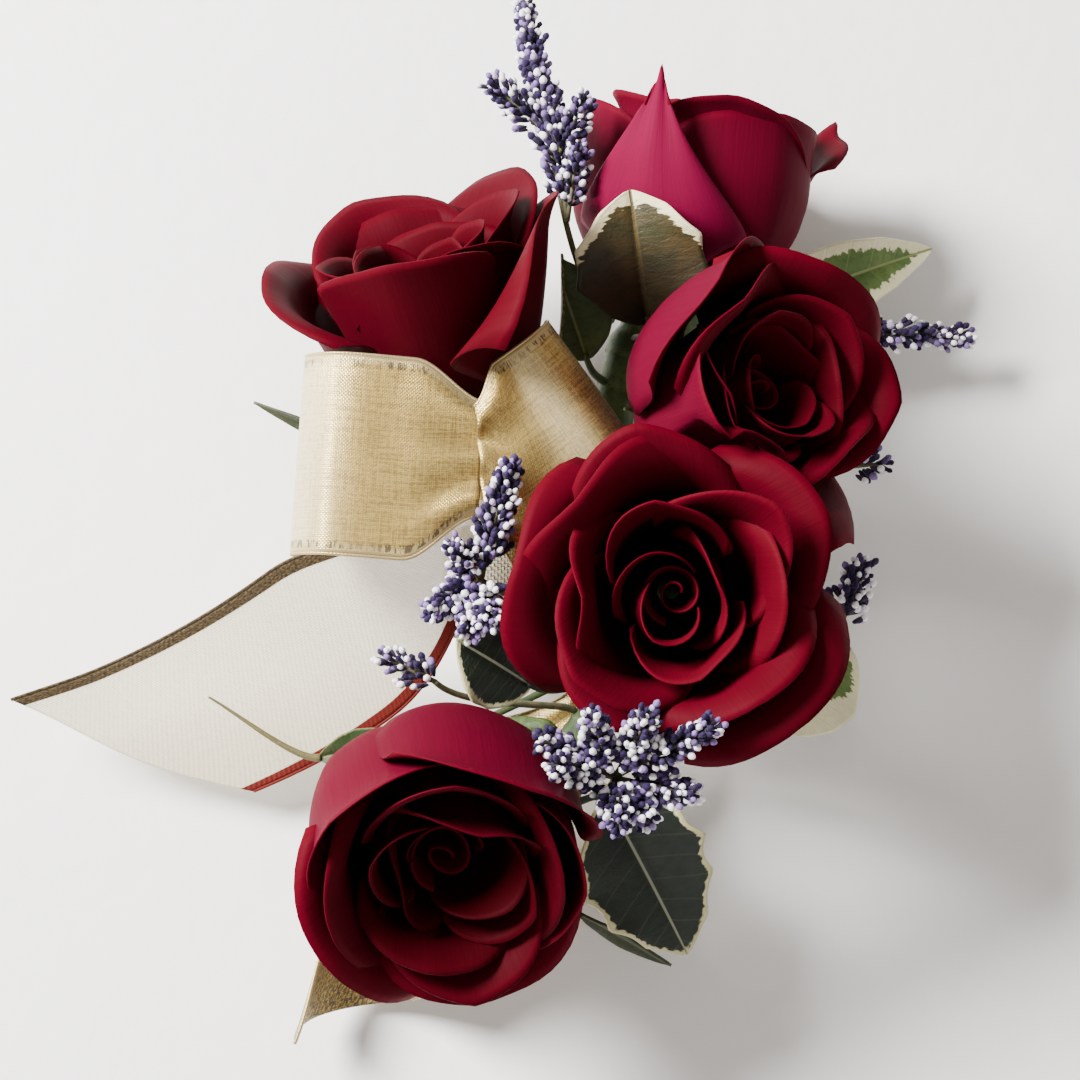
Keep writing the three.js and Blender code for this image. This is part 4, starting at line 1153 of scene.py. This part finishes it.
tailTop = knot + np.array([-bow["knotRadius"] * 0.4, -bow["knotRadius"] * 0.3, -knotUnder - 0.9])
lowSpot = spineLine[int(np.argmin(abs(spineLine[:, 1] - tailStyle["lowY"])))]
lowStart = lowSpot + np.array([-2, -2, -spine["radius"] - fitGap - 0.5])
for side, start, cloth in (("left", tailTop, sheer), ("bottom", lowStart, gold)):
    shape = tails[side]
    grid, length = tailGrid(start, shape)
    columns, rows = grid.shape[:2]
    lower = np.broadcast_to(ramp(columns)[:, None] > 0.5, (columns, rows))
    burn = smooth((ramp(rows)[None, :] - tailStyle["burnFrom"]) / tailStyle["burnOver"])
    tail = ribbonSheet(f"ribbon_tail_{side}", grid, cloth, shape["body"], 0.0, lower, burn)[0]
print("stage: bow is tied")


# Leaves and blades
leafHabit = dict(rise=(0, 0, 2), facing=(0, -0.3, 0.95), fold=12, givesWayTo=(), bareFoot=0.0, gloom=0.0,
                 dryTip=None, teeth=(5, 0.035))  # teeth: how many to a side, and how deep
leaves = {
    "top": dict(spineY=42, root=(7, 41, 40), tip=(3.5, 62.5, 52.5), rise=(0, 0, 4), facing=(0, -0.35, 0.9),
                # painted shade on the lower part of this leaf
                width=25, fold=14, look="olive", bareFoot=5.0, gloom=0.75, teeth=(4, 0.09)),
    "right": dict(spineY=36, root=(25, 47, 27), tip=(63, 66, 13), rise=(0, 0, 3), width=14, fold=16,
                  givesWayTo=("top",), look="bright"),
    "bottom": dict(spineY=-42, root=(-1, -44, 30), tip=(14, -70, 15), rise=(0, 0, 4),
                   facing=(0.1, -0.2, 0.95), width=25, look="dark", teeth=(5, 0.13)),
    "side": dict(spineY=-28, root=(29.5, -32, 33), tip=(43, -17.5, 33.5), rise=(3, 0, 1),
                 facing=(0.5, -0.3, 0.8), width=15.5, look="bright", bareFoot=-5.0),
    "dark": dict(spineY=-24, root=(-14, -26, 40), tip=(-27, -20, 50), width=16, fold=15, look="dark"),
    "under": dict(spineY=33, root=(-4, 36, 35), tip=(-10.5, 52.5, 45), width=15, givesWayTo=("left",),
                  look="plain"),
    "tip": dict(spineY=-21, root=(-38, -32.5, 20.4), tip=(-53, -35, 20), width=8, fold=15, look="plain",
                dryTip=(-72.9, -24.1, 22)),
    "blade_left": dict(spineY=20.2, root=(-40, 17, 34), tip=(-65, 28, 34), facing=(0, -0.9, 0.3), width=4,
                       fold=10, look="blade"),
    "blade_bottom": dict(spineY=-44, root=(-6, -63, 18), tip=(11, -72, 13), facing=(0, -0.9, 0.3), width=4,
                         fold=10, look="blade"),
}
leafLooks = {
    "olive": dict(green=(0.070, 0.043, 0.012), second=(0.026, 0.026, 0.009), vein=(0.085, 0.062, 0.022),
                  cream=(0.80, 0.74, 0.48), creamDark=(0.60, 0.55, 0.30), margin=0.4, jag=4.4, veins=0.03,
                  rib=0.3, rough=0.38),
    "bright": dict(green=(0.085, 0.15, 0.035), second=(0.13, 0.19, 0.05), vein=(0.26, 0.30, 0.12),
                   cream=(0.82, 0.78, 0.54), creamDark=(0.66, 0.62, 0.36), margin=0.2, jag=3.7, veins=0.12,
                   rib=0.2, rough=0.4),
    "dark": dict(green=(0.007, 0.012, 0.008), second=(0.012, 0.019, 0.011), vein=(0.24, 0.25, 0.17),
                 cream=(0.66, 0.60, 0.36), creamDark=(0.42, 0.40, 0.19), margin=-0.1, jag=2.2, veins=0.05,
                 rib=0.14, rough=0.3),
    "plain": dict(green=(0.030, 0.055, 0.016), second=(0.055, 0.075, 0.024), vein=(0.13, 0.15, 0.06),
                  cream=(0.22, 0.15, 0.05), creamDark=(0.13, 0.085, 0.03), margin=-0.6, jag=1.2, veins=0.1,
                  rib=0.16, rough=0.4),
    "blade": dict(green=(0.020, 0.028, 0.012), second=(0.045, 0.050, 0.020), vein=(0.08, 0.09, 0.04),
                  cream=(0.10, 0.10, 0.05), creamDark=(0.07, 0.07, 0.04), margin=-0.6, jag=0.8, veins=0.05,
                  rib=0.1, rough=0.45),
}
leafStyle = {"thickness": 0.5, "wave": 0.035, "waves": 11, "groove": 0.35, "grooveWidth": 0.8,
             "stalkRadius": 0.8, "stalkTaper": 0.7, "stalkBend": 0.4, "awn": (0.75, 0.2)}
leafFinishes = {name: leafFinish(name + "Leaf", look) for name, look in leafLooks.items()}


def growLeaf(name, shape, seed):
    dice = random.Random(seed)
    root, tip = at(shape["root"]), at(shape["tip"])
    bend = (root + tip) / 2 + at(shape["rise"])
    v = ramp(49)
    t = v[:, None]
    midrib = (1 - t) ** 2 * root + 2 * (1 - t) * t * bend + t**2 * tip
    along = units(2 * (1 - t) * (bend - root) + 2 * t * (tip - bend))
    across = units(np.cross(at(shape["facing"]), along))
    normal = np.cross(along, across)
    half = np.maximum(shape["width"] / 2 * np.maximum(np.sin(math.pi * v**0.85), 0) ** 0.8, 0.15)
    u = ramp(25, -1)[:, None]
    phase = dice.uniform(0, 6)
    count, deep = shape["teeth"]
    scallop = 1 - deep * abs(np.sin(v * count * math.pi + phase)) * (abs(u) ** 2)
    wave = leafStyle["wave"] * shape["width"] * np.sin(v * leafStyle["waves"] + phase + u)
    wave = wave * abs(u) ** 2 * np.sin(math.pi * v)
    groove = leafStyle["groove"] * np.exp(-((u * half / leafStyle["grooveWidth"]) ** 2))
    lift = abs(u) * half * math.sin(math.radians(shape["fold"])) + wave - groove
    grid = midrib[None] - (u * half * scallop)[..., None] * across[None] + lift[..., None] * normal[None]
    lower = 1 - smooth((v - 0.3) / 0.4)[None, :]  # the part near the stalk
    rim = np.minimum((1 - abs(u)) * half, (1 - v)[None, :] * stepsOf(midrib).sum() * 0.8)
    rim = rim + shape["bareFoot"] * lower
    heap = newHeap()
    sheetOf(heap, giveWay(grid, shape["givesWayTo"]), leafStyle["thickness"], rim=rim, rib=abs(u) * half,
            # painted shade on the part near the stalk
            gloom=shape["gloom"] * lower)
    if shape["dryTip"]:
        point = at(shape["dryTip"])
        awn = bezier(midrib[-3], midrib[-1] + along[-1] * 4, point + (midrib[-1] - point) * 0.3, point, 30)
        tubeOf(heap, awn, np.linspace(*leafStyle["awn"], 30), 8, rim=0.0, rib=3.0, gloom=0.0)
    foot, lead = footOnSpine(shape["spineY"], root, fitGap)
    back = along[0] * np.linalg.norm(root - foot) * leafStyle["stalkBend"]
    stalk = bezier(foot, lead, root - back, midrib[3], 36)
    thick = leafStyle["stalkRadius"]
    taper = np.linspace(thick, thick * leafStyle["stalkTaper"], 36)
    tubeOf(heap, stalk, taper, 10, rim=6.0, rib=3.0, gloom=0.0)
    makePiece(f"leaf_{name}", heap, leafFinishes[shape["look"]], "corsage")


for seed, (name, shape) in enumerate(leaves.items()):
    growLeaf(name, {**leafHabit, **shape}, seed)
print("stage: leaves are set")


# Sea lavender: each spike has a start, an end and a number of florets
def fan(start, *spikes):
    return [(start, end, florets) for end, florets in spikes]


sprigs = {
    "top": dict(spineY=45, bend=(-6, 52, 34), spikes=[
        ((-9, 66, 42), (-16, 106, 40), 240), ((-11.1, 78, 41.4), (-22, 87, 45), 60),
        ((-10, 72, 41.7), (-4, 81.5, 50), 50), ((-7.6, 61, 40.5), (-10.5, 84, 45.5), 90),
        ((-7.6, 61, 40.5), (-5.5, 72.3, 50), 60)]),
    "right": dict(spineY=33, bend=(20, 40, 15), spikes=fan((41, 48.5, 17), ((70.5, 48, 12), 170))),
    "bud": dict(spineY=20.8, bend=(26, 20, 17), spikes=fan((45, 18.5, 26), ((51, 19, 26), 20))),
    "side": dict(spineY=-22, bend=(30, -18, 26), spikes=fan((41, -14, 40), ((45, -3, 38.5), 80))),
    "centre": dict(spineY=-10, bend=(-16, -12, 40), spikes=fan(
        (-22.8, -10, 53), ((-17.6, 9.2, 61), 150), ((-31.4, -16.3, 57), 110), ((-21.2, -19.1, 60), 110),
        ((-27, -6.1, 61), 90), ((-24.9, -20.2, 57), 100))),
    "low": dict(spineY=-36, bend=(-1, -46, 36), spikes=fan(
        (0, -45, 55), ((-12.4, -40.2, 65), 110), ((-10.5, -45.5, 69), 110), ((-3.9, -37.0, 68), 100),
        ((5.7, -37.2, 70), 110), ((16.5, -39.0, 70), 130), ((13.3, -48.8, 59.5), 110),
        ((5.4, -53.1, 60), 100), ((0.4, -55.0, 64), 100))),
    "small": dict(spineY=-30, bend=(-26, -30, 38), spikes=fan((-31, -26, 44), ((-40, -22, 47), 36))),
}
sprigSeed = 40
goldenAngle = 2.39996
floret = {
    "length": 3.3,
    "cup": 0.62,
    "head": 0.74,
    "sides": 6,
    "stray": 0.4,
    "forward": 0.7,
    "lean": (0.55, 1.15, 0.55),  # least, most, and the share lost towards the tip
    "size": (0.8, 1.12, 0.25),
    "stand": (0.1, 2.9, 0.6),
}
twig = {"stalk": (0.7, 0.55), "spike": (0.5, 0.25), "bareBranch": 0.2, "bareAlone": 0.02, "lastFloret": 0.95}
cupRings = [(0.0, 0.35), (0.2, 0.75), (0.45, 1.0), (0.62, 0.9)]  # share of length, share of radius
headRings = [(0.55, 0.75), (0.68, 1.0), (0.82, 0.95), (0.93, 0.62), (1.0, 0.2)]


def addFloret(heap, spot, aim, size, tone):
    aim = unit(aim)
    side = unit(sideOf(aim))
    other = np.cross(aim, side)
    turn = np.arange(floret["sides"]) * 2 * math.pi / floret["sides"]
    star = np.cos(turn)[:, None] * side + np.sin(turn)[:, None] * other
    for rings, radius, tip in ((cupRings, floret["cup"], 0.0), (headRings, floret["head"], 1.0)):
        points = np.concatenate([spot + aim * share * floret["length"] * size + star * wide * radius * size
                                 for share, wide in rings])
        faces = ringFaces(len(rings), floret["sides"])
        pour(heap, points, faces, np.zeros((len(points), 2)), tone=tone, tip=tip, stalk=0.0)


def growSprig(name, shape, seed):
    dice = random.Random(seed)

    def drawn(kind):
        least, most, lost = floret[kind]
        return dice.uniform(least, most) * (1 - lost * share)

    heap = newHeap()
    plain = {"tone": 0.5, "tip": 0.0, "stalk": 1.0}
    spikes = shape["spikes"]
    foot, lead = footOnSpine(shape["spineY"], shape["bend"], fitGap)
    stalk = bezier(foot, lead, at(shape["bend"]), at(spikes[0][0]), 50)
    tubeOf(heap, stalk, np.linspace(*twig["stalk"], 50), 8, **plain)
    bare = twig["bareBranch"] if len(spikes) > 1 else twig["bareAlone"]
    for start, end, florets in spikes:
        start, end = at(start), at(end)
        heading = unit(end - start)
        side = unit(np.cross(heading, up))
        other = np.cross(heading, side)
        length = np.linalg.norm(end - start)
        core = start + np.linspace(0, 0.94, 12)[:, None] * (end - start)
        tubeOf(heap, core, np.linspace(*twig["spike"], 12), 7, **plain)
        for k in range(florets):
            share = bare + (twig["lastFloret"] - bare) * (k + dice.random()) / florets
            turn = k * goldenAngle + dice.uniform(-floret["stray"], floret["stray"])
            out = math.cos(turn) * side + math.sin(turn) * other
            lean, size, stand = drawn("lean"), drawn("size"), drawn("stand")
            spot = start + heading * share * length + out * stand
            addFloret(heap, spot, out * lean + heading * floret["forward"], size, dice.random())
    makePiece(f"sprig_{name}", heap, lavender, "corsage")


for seed, (name, shape) in enumerate(sprigs.items()):
    growSprig(name, shape, sprigSeed + seed)
print("stage: sea lavender is set")


# Wristband and clip
band = {"width": 18.0, "thickness": 1.2, "span": 62.0, "height": 21.0, "seam": 16.0, "ribs": 8,
        "ribDepth": 0.28}
stitch = {"inset": 2.4, "margin": 1.2, "reach": 1.1, "pitch": 1.6, "radius": 0.2, "lift": 0.05}


def ribbedSheet(node, x, z, run, body, closed=False):  # elastic along an outline, thinner between its ribs
    u = ramp(65, -1)[:, None]
    wide = u * band["width"] / 2
    thick = band["thickness"] - band["ribDepth"] * (1 - abs(np.sin(u * band["ribs"] * math.pi / 2))) ** 2
    heap = newHeap()
    sheetOf(heap, joined(x, -wide, z), thick, joined(wide, run), closed)
    return makePiece(node, heap, elasticCloth, body)


radius = (band["height"] - band["thickness"]) / 2
straight = (band["span"] - band["thickness"]) / 2 - radius
turns = np.linspace(-math.pi / 2, math.pi / 2, 33)
lower = joined(np.linspace(-straight, straight, 40), -radius)
right = joined(straight + radius * np.cos(turns), radius * np.sin(turns))
outline = np.concatenate([lower, right[1:], -lower[1:], -right[1:]])
height = outline[:, 1] + radius + band["thickness"] / 2
elastic = ribbedSheet("wrist_elastic", outline[:, 0], height, runOf(outline), None, closed=True)
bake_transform(elastic)

x = np.linspace(-band["seam"] / 2, band["seam"] / 2, 41)
level = 1.5 * band["thickness"] + fitGap
ribbedSheet("elastic_seam", x, level, x, "elastic_lap")
heap = newHeap()
y = np.linspace(-band["width"] / 2 + stitch["margin"], band["width"] / 2 - stitch["margin"], 121)
for end in (-1, 1):  # a row of zigzag stitches along each end of the lap
    zigzag = stitch["reach"] * (2 * abs((y / stitch["pitch"]) % 2 - 1) - 1)
    row = end * (band["seam"] / 2 - stitch["inset"]) + zigzag
    tubeOf(heap, joined(row, y, level + band["thickness"] / 2 + stitch["lift"]), stitch["radius"], 6)
makePiece("seam_stitches", heap, elasticCloth, "elastic_lap", replaces=False)

for name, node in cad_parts.items():
    if name == "clip_plate" or name.endswith("_wire") and name != "bow_wire":
        node.data.materials.clear()
        node.data.materials.append(clipMetal if name == "clip_plate" else wireEnamel)
print("stage: wristband is sewn")
